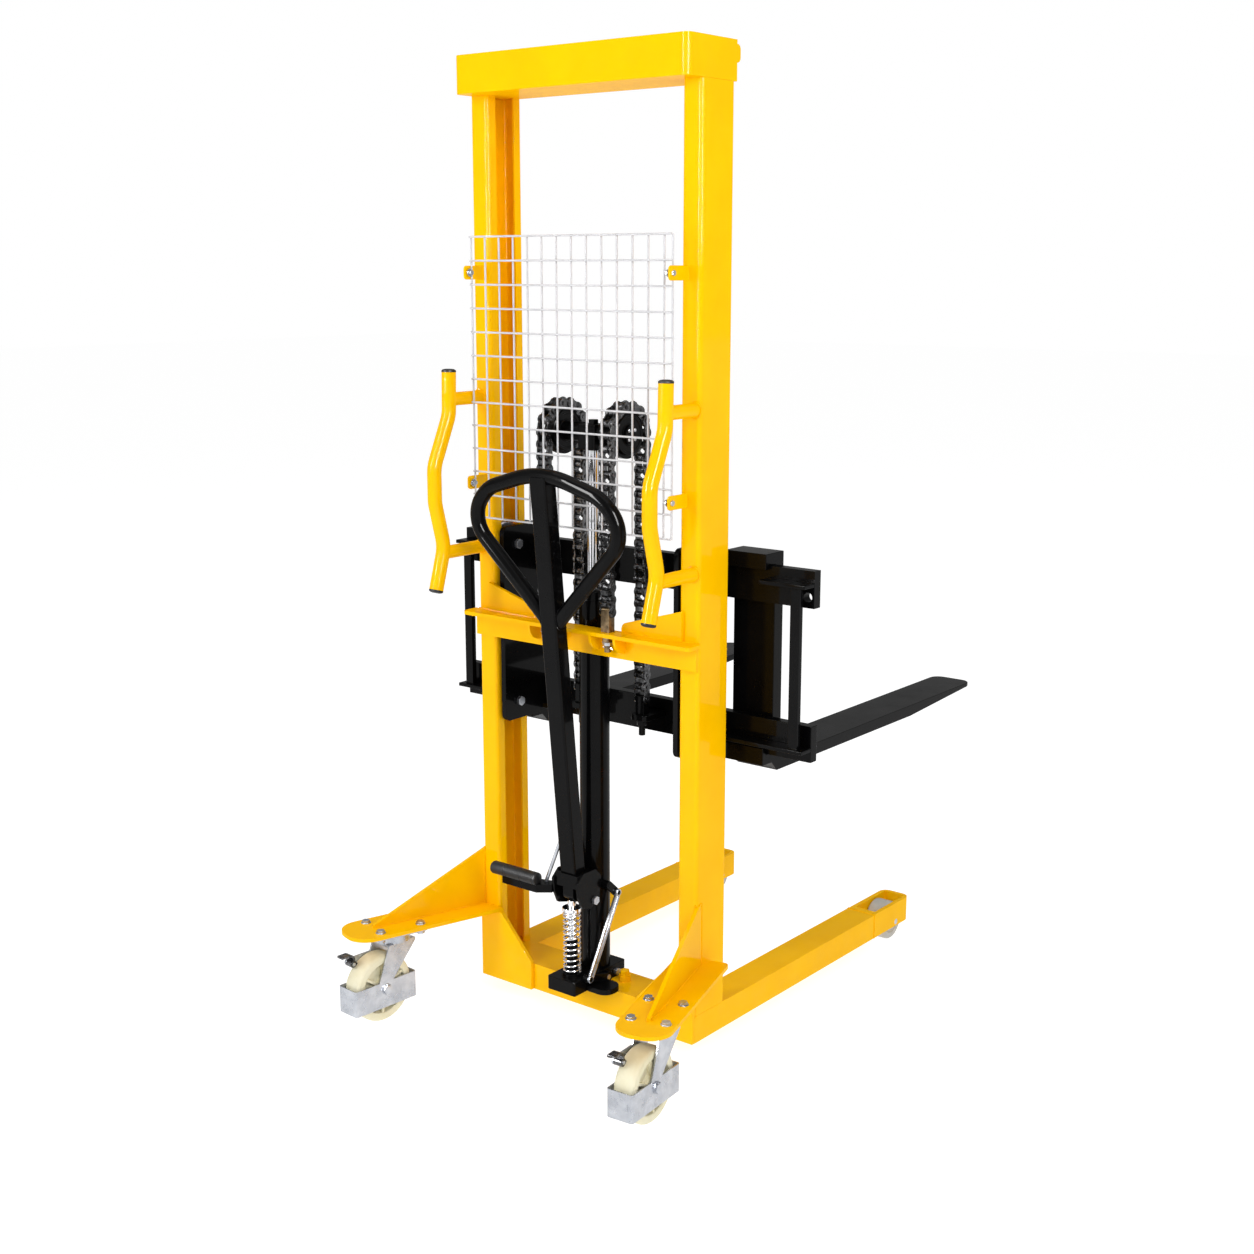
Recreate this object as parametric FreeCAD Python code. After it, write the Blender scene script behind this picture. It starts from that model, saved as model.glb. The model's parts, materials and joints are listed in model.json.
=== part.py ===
"""Hand pallet stacker, modelled piece by piece in millimetres.

The frame stands on z = 0 with +Z up. +Y points towards the fork tips and the centre plane of the
mast is x = 0. The rear faces of the two mast channels lie in the plane y = 0.
"""
import FreeCAD
import Part
import math
import os

V = FreeCAD.Vector

# Mast channels: cold-bent lipped sections, open towards the centre plane
MAST_HALF_WIDTH = 296.0
MAST_HEIGHT = 2030.0
CHANNEL_DEPTH = 104.0
CHANNEL_WIDTH = 48.0
CHANNEL_WALL = 5.0
CHANNEL_LIP = 24.0
CHANNEL_BEND = 9.0

# Top beam: a closed sheet box across both channels, with a rolled lip along its front
BEAM_HEIGHT = 76.0
BEAM_REAR = 46.0
BEAM_FRONT = 5.0
BEAM_WALL = 4.0
BEAM_CORNER = 14.0
BEAM_LIP_DEPTH = 11.0
BEAM_LIP_HEIGHT = 34.0
BEAM_LIP_DROP = 8.0
BEAM_LIP_ROLL = 10.0

# Base: two legs and a crossmember, all box sections with one top level
LEG_UNDERSIDE = 36.0
LEG_HEIGHT = 59.0
LEG_WIDTH = 74.0
LEG_WALL = 4.0
LEG_LENGTH = 725.0
NOSE_REACH = 170.0
NOSE_LAP = 20.0
NOSE_CHEEK = 11.0
NOSE_CORNER = 20.0
CROSSMEMBER_DEPTH = 97.0
CROSSMEMBER_WALL = 5.0
GUSSET_THICKNESS = 10.0
GUSSET_FOOT = 148.0
GUSSET_HEAD = 60.0
GUSSET_STEP = 6.0

# Load rollers in the leg noses
LOAD_ROLLER_DIAMETER = 92.0
LOAD_ROLLER_WIDTH = 48.0
LOAD_ROLLER_FRONT_GAP = 8.0
LOAD_AXLE_DIAMETER = 14.0
RUNNING_FIT = 0.05
SEAT_FIT = 0.02

# Outriggers that carry the casters, turned outwards behind each channel
OUTRIGGER_ANGLE = 17.0
OUTRIGGER_ROOT_X = 298.0
OUTRIGGER_LENGTH = 342.0
OUTRIGGER_FRONT = 45.0
OUTRIGGER_HALF_WIDTH = 57.0
OUTRIGGER_THICKNESS = 8.0
OUTRIGGER_NOSE = 48.0
OUTRIGGER_EAR = 12.0
RIB_THICKNESS = 8.0
RIB_HEIGHT = 127.0
RIB_LENGTH = 276.0
RIB_TOE = 6.0

# Casters
CASTER_HEIGHT = 197.0
CASTER_REACH = 228.0
CASTER_TRAIL = 47.0
CASTER_PLATE_THICKNESS = 5.0
CASTER_PLATE_LENGTH = 124.0
CASTER_PLATE_WIDTH = 100.0
CASTER_PLATE_CORNER = 10.0
CASTER_BOLT_LENGTHWAYS = 96.0
CASTER_BOLT_ACROSS = 72.0
CASTER_BOLT_DIAMETER = 10.0
CASTER_BOLT_FLATS = 16.0
CASTER_BOLT_HEAD = 6.5
CASTER_NUT = 8.0
KINGPIN_DIAMETER = 22.0
KINGPIN_TAIL = 2.0
SWIVEL_HEAD_DIAMETER = 74.0
SWIVEL_GAP = 0.4
CASTER_WHEEL_DIAMETER = 150.0
CASTER_WHEEL_WIDTH = 46.0
CASTER_TREAD_EDGE = 6.0
CASTER_HUB_DIAMETER = 46.0
CASTER_RIM_DIAMETER = 112.0
CASTER_DISC_RECESS = 12.0
CASTER_SPOKES = 6
CASTER_SPOKE_WIDTH = 6.0
CASTER_AXLE_DIAMETER = 12.0
CASTER_AXLE_HEAD = 5.0
CASTER_AXLE_FLATS = 19.0
CASTER_LEG_GAP = 3.0
CASTER_LEG_SHEET = 4.0
CASTER_WEB_SHEET = 6.0
CASTER_WEB_CLEAR = 15.0
CASTER_WEB_HALF = 36.0
GUARD_LENGTH = 168.0
GUARD_BOTTOM = 34.0
GUARD_TOP = 92.0
GUARD_SHEET = 3.0
GUARD_CORNER = 6.0
CASTER_TURN = 4.5

# Caster brake lever
BRAKE_PIVOT_BACK = 58.0
BRAKE_PIVOT_UP = 64.0
BRAKE_PIN_DIAMETER = 8.0
BRAKE_PIN_TAIL = 2.0
BRAKE_HUB_DIAMETER = 16.0
BRAKE_WIDTH = 18.0
BRAKE_SHEET = 5.0
BRAKE_PEDAL_REACH = 30.0
BRAKE_PEDAL_RISE = 16.0
BRAKE_SHOE_LENGTH = 30.0
BRAKE_SHOE_GAP = 4.0

# Chain crossbeam on the rear of the channels
CROSSBEAM_TOP = 884.0
CROSSBEAM_FLANGE = 8.0
CROSSBEAM_FLANGE_DEPTH = 44.0
CROSSBEAM_FLANGE_OVERHANG = 8.0
CROSSBEAM_FLANGE_CORNER = 10.0
CROSSBEAM_DROP = 48.0
CROSSBEAM_PLATE = 8.0
EAR_HEIGHT = 62.0
EAR_LAP = 12.0
EAR_INNER_X = 108.0
EAR_TOE_HEIGHT = 18.0
EAR_CORNER = 14.0
ANCHOR_RIB_THICKNESS = 6.0
ANCHOR_RIB_DEPTH = 34.0
ANCHOR_RIB_ROUND = 32.0
ANCHOR_RIB_OFFSET = 32.0

# Push handles on the rear of the channels
HANDLE_TUBE_DIAMETER = 30.0
HANDLE_INSET = 13.0
HANDLE_PATH_Y = (-92.0, -94.0, -141.0, -141.0, -117.0, -143.0)
HANDLE_PATH_Z = (1398.0, 1310.0, 1205.0, 1130.0, 1035.0, 946.0)
HANDLE_BEND = 70.0
HANDLE_STUB_DIAMETER = 28.0
HANDLE_STUB_UPPER = 1342.0
HANDLE_STUB_LOWER = 1022.0
HANDLE_CAP = 7.0

# Welded mesh guard
MESH_HALF_WIDTH = 260.0
MESH_RISE = 210.0
MESH_DROP = 282.0
MESH_WIRE = 4.0
MESH_PLANE = 42.0
MESH_COLUMNS = 13
MESH_NARROW_GAP = 20.0
MESH_ROWS = 12
MESH_OVERHANG = 1.0
TAB_INSET = 72.0
TAB_THICKNESS = 4.0
TAB_HEIGHT = 28.0
TAB_REACH = 60.0
TAB_SCREW_BACK = 50.0
SCREW_DIAMETER = 6.0
SCREW_FLATS = 10.0
SCREW_HEAD = 4.0
SCREW_WASHER = 16.0
SCREW_WASHER_SHEET = 2.0
SCREW_NUT = 5.0

# Lift cylinder and ram
RAM_AXIS_Y = 36.0
CYLINDER_DIAMETER = 64.0
CYLINDER_BORE = 50.0
CYLINDER_TOP = 954.0
GLAND_HEIGHT = 18.0
GLAND_DIAMETER = 68.0
RAM_DIAMETER = 28.0
RAM_FOOT = 440.0
PISTON_HEIGHT = 24.0

# Crosshead and chain wheels, at the height of the raised forks
WHEEL_AXIS_Z = 1281.0
CROSSHEAD_BELOW = 35.0
CROSSHEAD_ABOVE = 17.0
CROSSHEAD_WIDTH = 44.0
CROSSHEAD_DEPTH = 46.0
CROSSHEAD_BOLT_FLATS = 19.0
CROSSHEAD_BOLT_HEAD = 9.0
CHAIN_X = 83.0
WHEEL_PIN_DIAMETER = 24.0
WHEEL_HUB_DIAMETER = 84.0
WHEEL_WIDTH = 26.0
WHEEL_END_DISC = 40.0
WHEEL_END_DISC_SHEET = 4.0
WHEEL_SIDE_GAP = 0.5

# Roller chain
CHAIN_PITCH = 25.4
CHAIN_WRAP_LINKS = 7
CHAIN_REAR_LINKS = 14
CHAIN_FRONT_LINKS = 22
CHAIN_ROLLER = 15.88
CHAIN_INNER_HALF = 8.0
CHAIN_PLATE = 3.2
CHAIN_PLATE_GAP = 0.1
CHAIN_INNER_HEIGHT = 24.0
CHAIN_OUTER_HEIGHT = 21.0
CHAIN_PIN = 8.0
CHAIN_PIN_END = 1.8
CHAIN_RUN_GAP = 0.3

# Chain anchors
ANCHOR_STUD = 14.0
ANCHOR_NUT_FLATS = 21.0
ANCHOR_NUT = 12.0
ANCHOR_TONGUE_DEPTH = 18.0
ANCHOR_TONGUE_RISE = 9.0
ANCHOR_TAIL = 34.0
LOWER_LUG_TOP = 688.0
LOWER_LUG_THICKNESS = 12.0
LOWER_LUG_WIDTH = 46.0
LOWER_LUG_BACK = 16.0

# Carriage
BAR_REAR_Y = 146.0
BAR_THICKNESS = 22.0
BAR_HALF_LENGTH = 470.0
BAR_HEIGHT = 75.0
UPPER_BAR_BOTTOM = 953.0
LOWER_BAR_BOTTOM = 638.0
BAR_HOLE_DIAMETER = 20.0
BAR_HOLE_INSET = 15.0
BAR_RIB_SHEET = 8.0
BAR_RIB_DEPTH = 36.0
UPPER_RIB_TOP = 1004.0
LOWER_RIB_TOP = 669.0
UPPER_RIB_LENGTH = 110.0
STRUT_FROM_END = 27.0
STRUT_WIDTH = 22.0
STRUT_DEPTH = 13.0
STRUT_INSET = 15.0
ROLLER_PLATE_THICKNESS = 12.0
ROLLER_PLATE_GAP = 8.0
ROLLER_PLATE_REAR = 8.0
ROLLER_PLATE_BOTTOM = 636.0
ROLLER_PLATE_TOP = 1066.0
ROLLER_PLATE_RELIEF = 16.0
ROLLER_PLATE_CORNER = 15.0
UPPER_ROLLER_Z = 1026.0
LOWER_ROLLER_Z = 676.0
MAST_ROLLER_PLAY = 0.6
MAST_ROLLER_WIDTH = 28.0
MAST_ROLLER_EDGE = 3.0
ROLLER_AXLE_DIAMETER = 25.0
ROLLER_COLLAR = 34.0
ROLLER_COLLAR_GAP = 0.4
ROLLER_END_DISC = 2.5
ROLLER_SEAT_DEPTH = 8.0
ROLLER_BOLT_DIAMETER = 12.0
ROLLER_BOLT_FLATS = 19.0
ROLLER_BOLT_HEAD = 8.0

# Forks, hooked over both bars
FORK_CENTRE = 313.0
FORK_WIDTH = 100.0
FORK_SHANK = 30.0
FORK_TOP_Z = 620.0
FORK_HEEL_THICKNESS = 26.0
FORK_TIP_Y = 1044.0
FORK_TIP_THICKNESS = 8.0
FORK_TAPER = 300.0
FORK_TIP_CORNER = 26.0
FORK_HEEL_RADIUS = 26.0
FORK_HEEL_CHAMFER = 20.0
FORK_LUG = 23.0
FORK_BAR_PLAY = 1.0
FORK_HOOK_HEIGHT = 24.0
FORK_HOOK_LIP = 11.0
FORK_HOOK_DEPTH = 8.0
FORK_LOWER_HOOK_DEPTH = 13.0

# Hydraulic pump
PUMP_BLOCK_HALF_WIDTH = 38.0
PUMP_BLOCK_REAR = -80.0
PUMP_BLOCK_FRONT = 92.0
PUMP_BLOCK_HEIGHT = 30.0
PUMP_BLOCK_CORNER = 4.0
PUMP_PIVOT_Y = -10.0
PUMP_PIVOT_Z = 292.0
PUMP_STROKE_DEGREES = 60.0
CAM_ARM = 34.0
CAM_RADIUS = 15.0
CAM_WIDTH = 28.0
CAM_GAP = 0.4
PLUNGER_Y = -42.0
PLUNGER_DIAMETER = 18.0
PLUNGER_FOOT = 140.0
PLUNGER_NECK = 16.0
PLUNGER_COLLAR_DIAMETER = 42.0
PLUNGER_COLLAR = 8.0
BARREL_DIAMETER = 24.0
BARREL_TOP = 205.0
BARREL_FLANGE_DIAMETER = 44.0
BARREL_FLANGE = 6.0
SPRING_WIRE = 4.5
SPRING_MEAN_RADIUS = 18.0
SPRING_CLOSED_PITCH = 5.2
SPRING_TURNS = 10
LUG_BOSS_RADIUS = 14.0
LUG_WIDTH = 54.0
LUG_HEIGHT = 24.0
PIVOT_PIN_DIAMETER = 14.0
PIVOT_PIN_HEAD = 6.0
PIVOT_PIN_FLATS = 17.0
CHEEK_THICKNESS = 6.0
CHEEK_GAP = 3.0
CHEEK_Y = (-62.0, -66.0, -46.0, -6.0, 12.0, 12.0, 2.0, -22.0, -50.0)
CHEEK_Z = (310.0, 342.0, 360.0, 360.0, 342.0, 318.0, 290.0, 276.0, 284.0)
CHEEK_CORNER = 5.0
LEVER_BLOCK_REAR = -60.0
LEVER_BLOCK_FRONT = -4.0
LEVER_BLOCK_BOTTOM = 327.0
LEVER_BLOCK_TOP = 356.0

# Tiller bar, loop, foot pedal and brace
TILLER_FOOT_Y = -38.0
TILLER_LEAN = 5.8
TILLER_WIDTH = 42.0
TILLER_DEPTH = 36.0
TILLER_WALL = 3.0
TILLER_TANG = 40.0
TILLER_CORNER = 5.0
LOOP_TUBE_DIAMETER = 31.0
LOOP_FOOT_X = 30.0
LOOP_FOOT = 570.0
LOOP_SIDE_X = 208.0
LOOP_SIDE = 752.0
LOOP_SHOULDER_X = 150.0
LOOP_CROWN = 854.0
LOOP_CROWN_SLOPE = 17.0
LOOP_CROWN_BEND = 250.0
LOOP_SIDE_BEND = 62.0
LOOP_SHOULDER_BEND = 90.0
PEDAL_Y = -80.0
PEDAL_Z = 336.0
PEDAL_DIAMETER = 28.0
PEDAL_INNER_X = -62.0
PEDAL_OUTER_X = -190.0
PEDAL_ARM_THICKNESS = 18.0
PEDAL_ARM_SADDLE = 4.0
PEDAL_ARM_CORNER = 10.0
BRACE_DIAMETER = 8.0
BRACE_FOOT_X = -60.0
BRACE_FOOT_Y = -58.0
BRACE_HEAD_Z = 446.0

# Release linkage on the right of the pump
RELEASE_PIVOT_Y = 24.0
RELEASE_PIVOT_Z = 318.0
RELEASE_STUD_DIAMETER = 10.0
RELEASE_ARM_X = 44.0
RELEASE_ARM_SHEET = 6.0
RELEASE_ARM_WIDTH = 18.0
RELEASE_PIN_Y = 48.0
RELEASE_PIN_Z = 296.0
RELEASE_PIN_DIAMETER = 8.0
LINK_GAP = 0.6
LINK_WIDTH = 16.0
LINK_SHEET = 6.0
LINK_FOOT_PLAY = 1.2
VALVE_Y = 22.0
VALVE_Z = 109.0
VALVE_SPINDLE_DIAMETER = 12.0
VALVE_HUB_DIAMETER = 24.0
VALVE_SIDE_GAP = 1.0
VALVE_LEVER_SHEET = 10.0
VALVE_ARM_WIDTH = 18.0
VALVE_PIN_Y = -46.0
VALVE_PIN_Z = 128.0
VALVE_TREAD_OUTER_X = 95.0
VALVE_TREAD_REAR = -42.0
VALVE_TREAD_FRONT = 14.0
VALVE_TREAD_SHEET = 12.0
VALVE_TREAD_CORNER = 24.0
BASE_BOSS_DIAMETER = 25.0
BASE_BOSS = 14.0
BASE_BOLT_X = 66.0
BASE_BOLT_Y = 56.0
BASE_BOLT_DIAMETER = 12.0
BASE_BOLT_FLATS = 19.0
BASE_BOLT_HEAD = 10.0
PLUG_Y = 58.0
PLUG_FLATS = 14.0
PLUG_LENGTH = 8.0

# Levels and faces that follow from the sizes above
BASE_TOP = LEG_UNDERSIDE + LEG_HEIGHT
BASE_BOSS_TOP = BASE_TOP + BASE_BOSS
BEAM_BOTTOM = MAST_HEIGHT - BEAM_HEIGHT
CHANNEL_INNER = MAST_HALF_WIDTH - CHANNEL_WIDTH
CHANNEL_MID_Y = CHANNEL_DEPTH / 2
LEG_INNER = MAST_HALF_WIDTH - LEG_WIDTH
LEG_CENTRE = MAST_HALF_WIDTH - LEG_WIDTH / 2
NOSE_FRONT = LEG_LENGTH + NOSE_REACH
LOAD_AXLE_Z = LOAD_ROLLER_DIAMETER / 2
LOAD_AXLE_Y = NOSE_FRONT - NOSE_CHEEK - LOAD_ROLLER_FRONT_GAP - LOAD_ROLLER_DIAMETER / 2
OUTRIGGER_TOP = CASTER_HEIGHT + OUTRIGGER_THICKNESS
OUTRIGGER_TURN = math.radians(OUTRIGGER_ANGLE)
SWIVEL_X = OUTRIGGER_ROOT_X + CASTER_REACH * math.sin(OUTRIGGER_TURN)
SWIVEL_Y = -CASTER_REACH * math.cos(OUTRIGGER_TURN)
CASTER_AXLE_Z = CASTER_WHEEL_DIAMETER / 2
CASTER_WEB_BOTTOM = CASTER_WHEEL_DIAMETER + CASTER_WEB_CLEAR
CASTER_WEB_TOP = CASTER_WEB_BOTTOM + CASTER_WEB_SHEET
CASTER_LEG_INNER = CASTER_WHEEL_WIDTH / 2 + CASTER_LEG_GAP
CASTER_LEG_OUTER = CASTER_LEG_INNER + CASTER_LEG_SHEET
CHAIN_WRAP_STEP = math.pi / CHAIN_WRAP_LINKS
CHAIN_PITCH_RADIUS = CHAIN_PITCH / 2 / math.sin(CHAIN_WRAP_STEP / 2)
CHAIN_REAR_Y = RAM_AXIS_Y - CHAIN_PITCH_RADIUS
CHAIN_FRONT_Y = RAM_AXIS_Y + CHAIN_PITCH_RADIUS
CHAIN_OUTER_HALF = CHAIN_INNER_HALF + CHAIN_PLATE + CHAIN_PLATE_GAP
ANCHOR_PIN_Z = WHEEL_AXIS_Z - CHAIN_REAR_LINKS * CHAIN_PITCH
LOWER_PIN_Z = WHEEL_AXIS_Z - CHAIN_FRONT_LINKS * CHAIN_PITCH
MESH_BOTTOM = CROSSBEAM_TOP + MESH_RISE
MESH_TOP = BEAM_BOTTOM - MESH_DROP
TAB_LOWER = MESH_BOTTOM + TAB_INSET
TAB_UPPER = MESH_TOP - TAB_INSET
STRUT_CENTRE = BAR_HALF_LENGTH - STRUT_FROM_END
ROLLER_PLATE_OUTER = CHANNEL_INNER - ROLLER_PLATE_GAP
ROLLER_PLATE_INNER = ROLLER_PLATE_OUTER - ROLLER_PLATE_THICKNESS
ROLLER_SEAT_X = ROLLER_PLATE_OUTER - ROLLER_SEAT_DEPTH
MAST_ROLLER_DIAMETER = CHANNEL_DEPTH - 2 * CHANNEL_WALL - 2 * MAST_ROLLER_PLAY
MAST_ROLLER_CENTRE = MAST_HALF_WIDTH - CHANNEL_WIDTH / 2
PUMP_TOP = BASE_TOP + PUMP_BLOCK_HEIGHT
CAM_START = math.radians(PUMP_STROKE_DEGREES / 2)
CAM_Y = PUMP_PIVOT_Y - CAM_ARM * math.cos(CAM_START)
CAM_Z = PUMP_PIVOT_Z + CAM_ARM * math.sin(CAM_START)
PLUNGER_TOP = CAM_Z - CAM_RADIUS - CAM_GAP
SPRING_TOP = PLUNGER_TOP - PLUNGER_NECK - PLUNGER_COLLAR
SPRING_BOTTOM = PUMP_TOP + BARREL_FLANGE
LOOP_FALL = math.radians(LOOP_CROWN_SLOPE)
LOOP_PEAK = LOOP_CROWN + LOOP_CROWN_BEND * (1 / math.cos(LOOP_FALL) - 1)
LOOP_SHOULDER = LOOP_PEAK - LOOP_SHOULDER_X * math.tan(LOOP_FALL)
CHEEK_INNER = LUG_WIDTH / 2 + CHEEK_GAP
CHEEK_OUTER = CHEEK_INNER + CHEEK_THICKNESS
LINK_X = RELEASE_ARM_X + RELEASE_ARM_SHEET + LINK_GAP
PIN_END_X = LINK_X + LINK_SHEET + LINK_GAP


def box(x0, x1, y0, y1, z0, z1):
    """Return a box between the given faces."""
    return Part.makeBox(x1 - x0, y1 - y0, z1 - z0, V(x0, y0, z0))


def rod_x(x0, x1, y, z, diameter):
    """Return a cylinder along X."""
    return Part.makeCylinder(diameter / 2, x1 - x0, V(x0, y, z), V(1, 0, 0))


def rod_y(y0, y1, x, z, diameter):
    """Return a cylinder along Y."""
    return Part.makeCylinder(diameter / 2, y1 - y0, V(x, y0, z), V(0, 1, 0))


def rod_z(z0, z1, x, y, diameter):
    """Return a cylinder along Z."""
    return Part.makeCylinder(diameter / 2, z1 - z0, V(x, y, z0), V(0, 0, 1))


def rod_between(start, end, diameter):
    """Return a cylinder from one point to another."""
    return Part.makeCylinder(diameter / 2, (end - start).Length, start, end - start)


def rounded_edges(points, radii, closed):
    """Return the edges of a polyline whose corners are rounded by tangent arcs."""
    count = len(points)
    leave = []
    arrive = []
    arcs = []
    for index, point in enumerate(points):
        radius = radii[index]
        inside = closed or 0 < index < count - 1
        if radius == 0 or not inside:
            arrive.append(point)
            leave.append(point)
            arcs.append(None)
            continue
        back = (points[index - 1] - point).normalize()
        ahead = (points[(index + 1) % count] - point).normalize()
        half = back.getAngle(ahead) / 2
        middle = (back + ahead).normalize()
        run = radius / math.tan(half)
        crown = point + middle * (radius / math.sin(half) - radius)
        arrive.append(point + back * run)
        leave.append(point + ahead * run)
        arcs.append(crown)
    edges = []
    for index in range(count):
        if arcs[index] is not None:
            edges.append(Part.Arc(arrive[index], arcs[index], leave[index]).toShape())
        following = (index + 1) % count
        if closed or index < count - 1:
            if (leave[index] - arrive[following]).Length > 1e-6:
                edges.append(Part.makeLine(leave[index], arrive[following]))
    return edges


def panel(points, radii, depth):
    """Return a solid from a closed outline with rounded corners, pushed along a vector."""
    wire = Part.Wire(rounded_edges(points, radii, True))
    return Part.Face(wire).extrude(depth)


def panel_x(outline, radii, x0, x1):
    """Return a plate from (y, z) corners between two X faces."""
    return panel([V(x0, y, z) for y, z in outline], radii, V(x1 - x0, 0, 0))


def panel_y(outline, radii, y0, y1):
    """Return a plate from (x, z) corners between two Y faces."""
    return panel([V(x, y0, z) for x, z in outline], radii, V(0, y1 - y0, 0))


def panel_z(outline, radii, z0, z1):
    """Return a plate from (x, y) corners between two Z faces."""
    return panel([V(x, y, z0) for x, y in outline], radii, V(0, 0, z1 - z0))


def rectangle(a0, a1, b0, b1):
    """Return the four corners of a rectangle."""
    return [(a0, b0), (a1, b0), (a1, b1), (a0, b1)]


def slab_z(x0, x1, y0, y1, z0, z1, radius):
    """Return a box whose upright edges are rounded."""
    return panel_z(rectangle(x0, x1, y0, y1), [radius] * 4, z0, z1)


def strap_x(y0, z0, y1, z1, width, x0, x1):
    """Return a flat strap with round ends between two points of the Y-Z plane."""
    start = V(x0, y0, z0)
    end = V(x0, y1, z1)
    along = (end - start).normalize() * (width / 2)
    side = V(0, -along.z, along.y)
    edges = [
        Part.makeLine(start + side, end + side),
        Part.Arc(end + side, end + along, end - side).toShape(),
        Part.makeLine(end - side, start - side),
        Part.Arc(start - side, start - along, start + side).toShape(),
    ]
    return Part.Face(Part.Wire(edges)).extrude(V(x1 - x0, 0, 0))


def hexagon(centre, axis, flats, length):
    """Return a hexagonal prism along an axis, starting at a point."""
    across = V(-abs(axis.z), abs(axis.z), abs(axis.x) + abs(axis.y)).normalize()
    corners = []
    for step in range(6):
        spin = FreeCAD.Rotation(axis, 60.0 * step)
        corners.append(centre + spin.multVec(across) * (flats / math.sqrt(3.0)))
    return panel(corners, [0] * 6, axis * length)


def tube(points, radii, diameter, closed=False):
    """Return a round bar swept along straight runs and tangent arcs."""
    path = Part.Wire(rounded_edges(points, radii, closed))
    start = path.OrderedEdges[0]
    direction = start.tangentAt(start.FirstParameter)
    circle = Part.Wire(Part.makeCircle(diameter / 2, start.valueAt(start.FirstParameter), direction))
    return path.makePipeShell([circle], True, False)


def rim_edges(cylinder):
    """Return the two circular edges of a cylinder."""
    return [edge for edge in cylinder.Edges if edge.Closed and len(edge.Vertexes) == 1]


def join(shapes):
    """Return one solid from pieces that are welded together."""
    return shapes[0].multiFuse(shapes[1:]).removeSplitter()


def mirrored(shape):
    """Return the same piece on the other side of the centre plane."""
    return shape.mirror(V(0, 0, 0), V(1, 0, 0))


def both_sides(shape):
    """Return a piece with its mirror image."""
    return [shape, mirrored(shape)]


def mast_channel():
    """Return the right mast channel with the two guard tabs welded to it."""
    outer = slab_z(CHANNEL_INNER, MAST_HALF_WIDTH, 0, CHANNEL_DEPTH, BASE_TOP, BEAM_BOTTOM, CHANNEL_BEND)
    hollow = slab_z(CHANNEL_INNER + CHANNEL_WALL, MAST_HALF_WIDTH - CHANNEL_WALL, CHANNEL_WALL,
                    CHANNEL_DEPTH - CHANNEL_WALL, BASE_TOP, BEAM_BOTTOM, CHANNEL_BEND - CHANNEL_WALL)
    mouth = box(CHANNEL_INNER, CHANNEL_INNER + CHANNEL_WALL, CHANNEL_LIP, CHANNEL_DEPTH - CHANNEL_LIP,
                BASE_TOP, BEAM_BOTTOM)
    return join([outer.cut(hollow).cut(mouth)] + [guard_tab(level) for level in (TAB_LOWER, TAB_UPPER)])


def guard_tab(level):
    """Return the right tab that holds one corner of the mesh guard."""
    inner = MESH_HALF_WIDTH + MESH_WIRE / 2
    outer = inner + TAB_THICKNESS
    half = TAB_HEIGHT / 2
    corners = rectangle(-TAB_REACH, 0, level - half, level + half)
    plate = panel_x(corners, [half / 2, 0, 0, half / 2], inner, outer)
    return plate.cut(rod_x(inner, outer, -TAB_SCREW_BACK, level, SCREW_DIAMETER + 2 * SEAT_FIT))


def guard_screw(level):
    """Return one screw with its washer and nut, clamping an edge wire to its tab."""
    tab_inner = MESH_HALF_WIDTH + MESH_WIRE / 2
    tab_outer = tab_inner + TAB_THICKNESS
    washer_face = MESH_HALF_WIDTH - MESH_WIRE / 2
    washer_back = washer_face - SCREW_WASHER_SHEET
    head = hexagon(V(tab_outer, -TAB_SCREW_BACK, level), V(1, 0, 0), SCREW_FLATS, SCREW_HEAD)
    shank = rod_x(washer_back, tab_outer, -TAB_SCREW_BACK, level, SCREW_DIAMETER)
    washer = rod_x(washer_back, washer_face, -TAB_SCREW_BACK, level, SCREW_WASHER)
    nut = hexagon(V(washer_back, -TAB_SCREW_BACK, level), V(-1, 0, 0), SCREW_FLATS, SCREW_NUT)
    return join([head, shank, washer, nut])


def top_beam():
    """Return the hollow beam across the top of the mast."""
    front = CHANNEL_DEPTH + BEAM_FRONT
    radii = [BEAM_CORNER, BEAM_CORNER, 0, 0]
    plan = rectangle(-MAST_HALF_WIDTH, MAST_HALF_WIDTH, -BEAM_REAR, front)
    outer = panel_z(plan, radii, BEAM_BOTTOM, MAST_HEIGHT)
    lip_top = MAST_HEIGHT - BEAM_LIP_DROP
    lip_bottom = lip_top - BEAM_LIP_HEIGHT
    profile = rectangle(front, front + BEAM_LIP_DEPTH, lip_bottom, lip_top)
    lip = panel_x(profile, [0, BEAM_LIP_ROLL, BEAM_LIP_ROLL, 0], -MAST_HALF_WIDTH, MAST_HALF_WIDTH)
    wall = BEAM_WALL
    inside = [radius and radius - wall for radius in radii]
    plan = rectangle(-MAST_HALF_WIDTH + wall, MAST_HALF_WIDTH - wall, -BEAM_REAR + wall, front - wall)
    hollow = panel_z(plan, inside, BEAM_BOTTOM + wall, MAST_HEIGHT - wall)
    return join([outer, lip]).cut(hollow)


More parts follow.
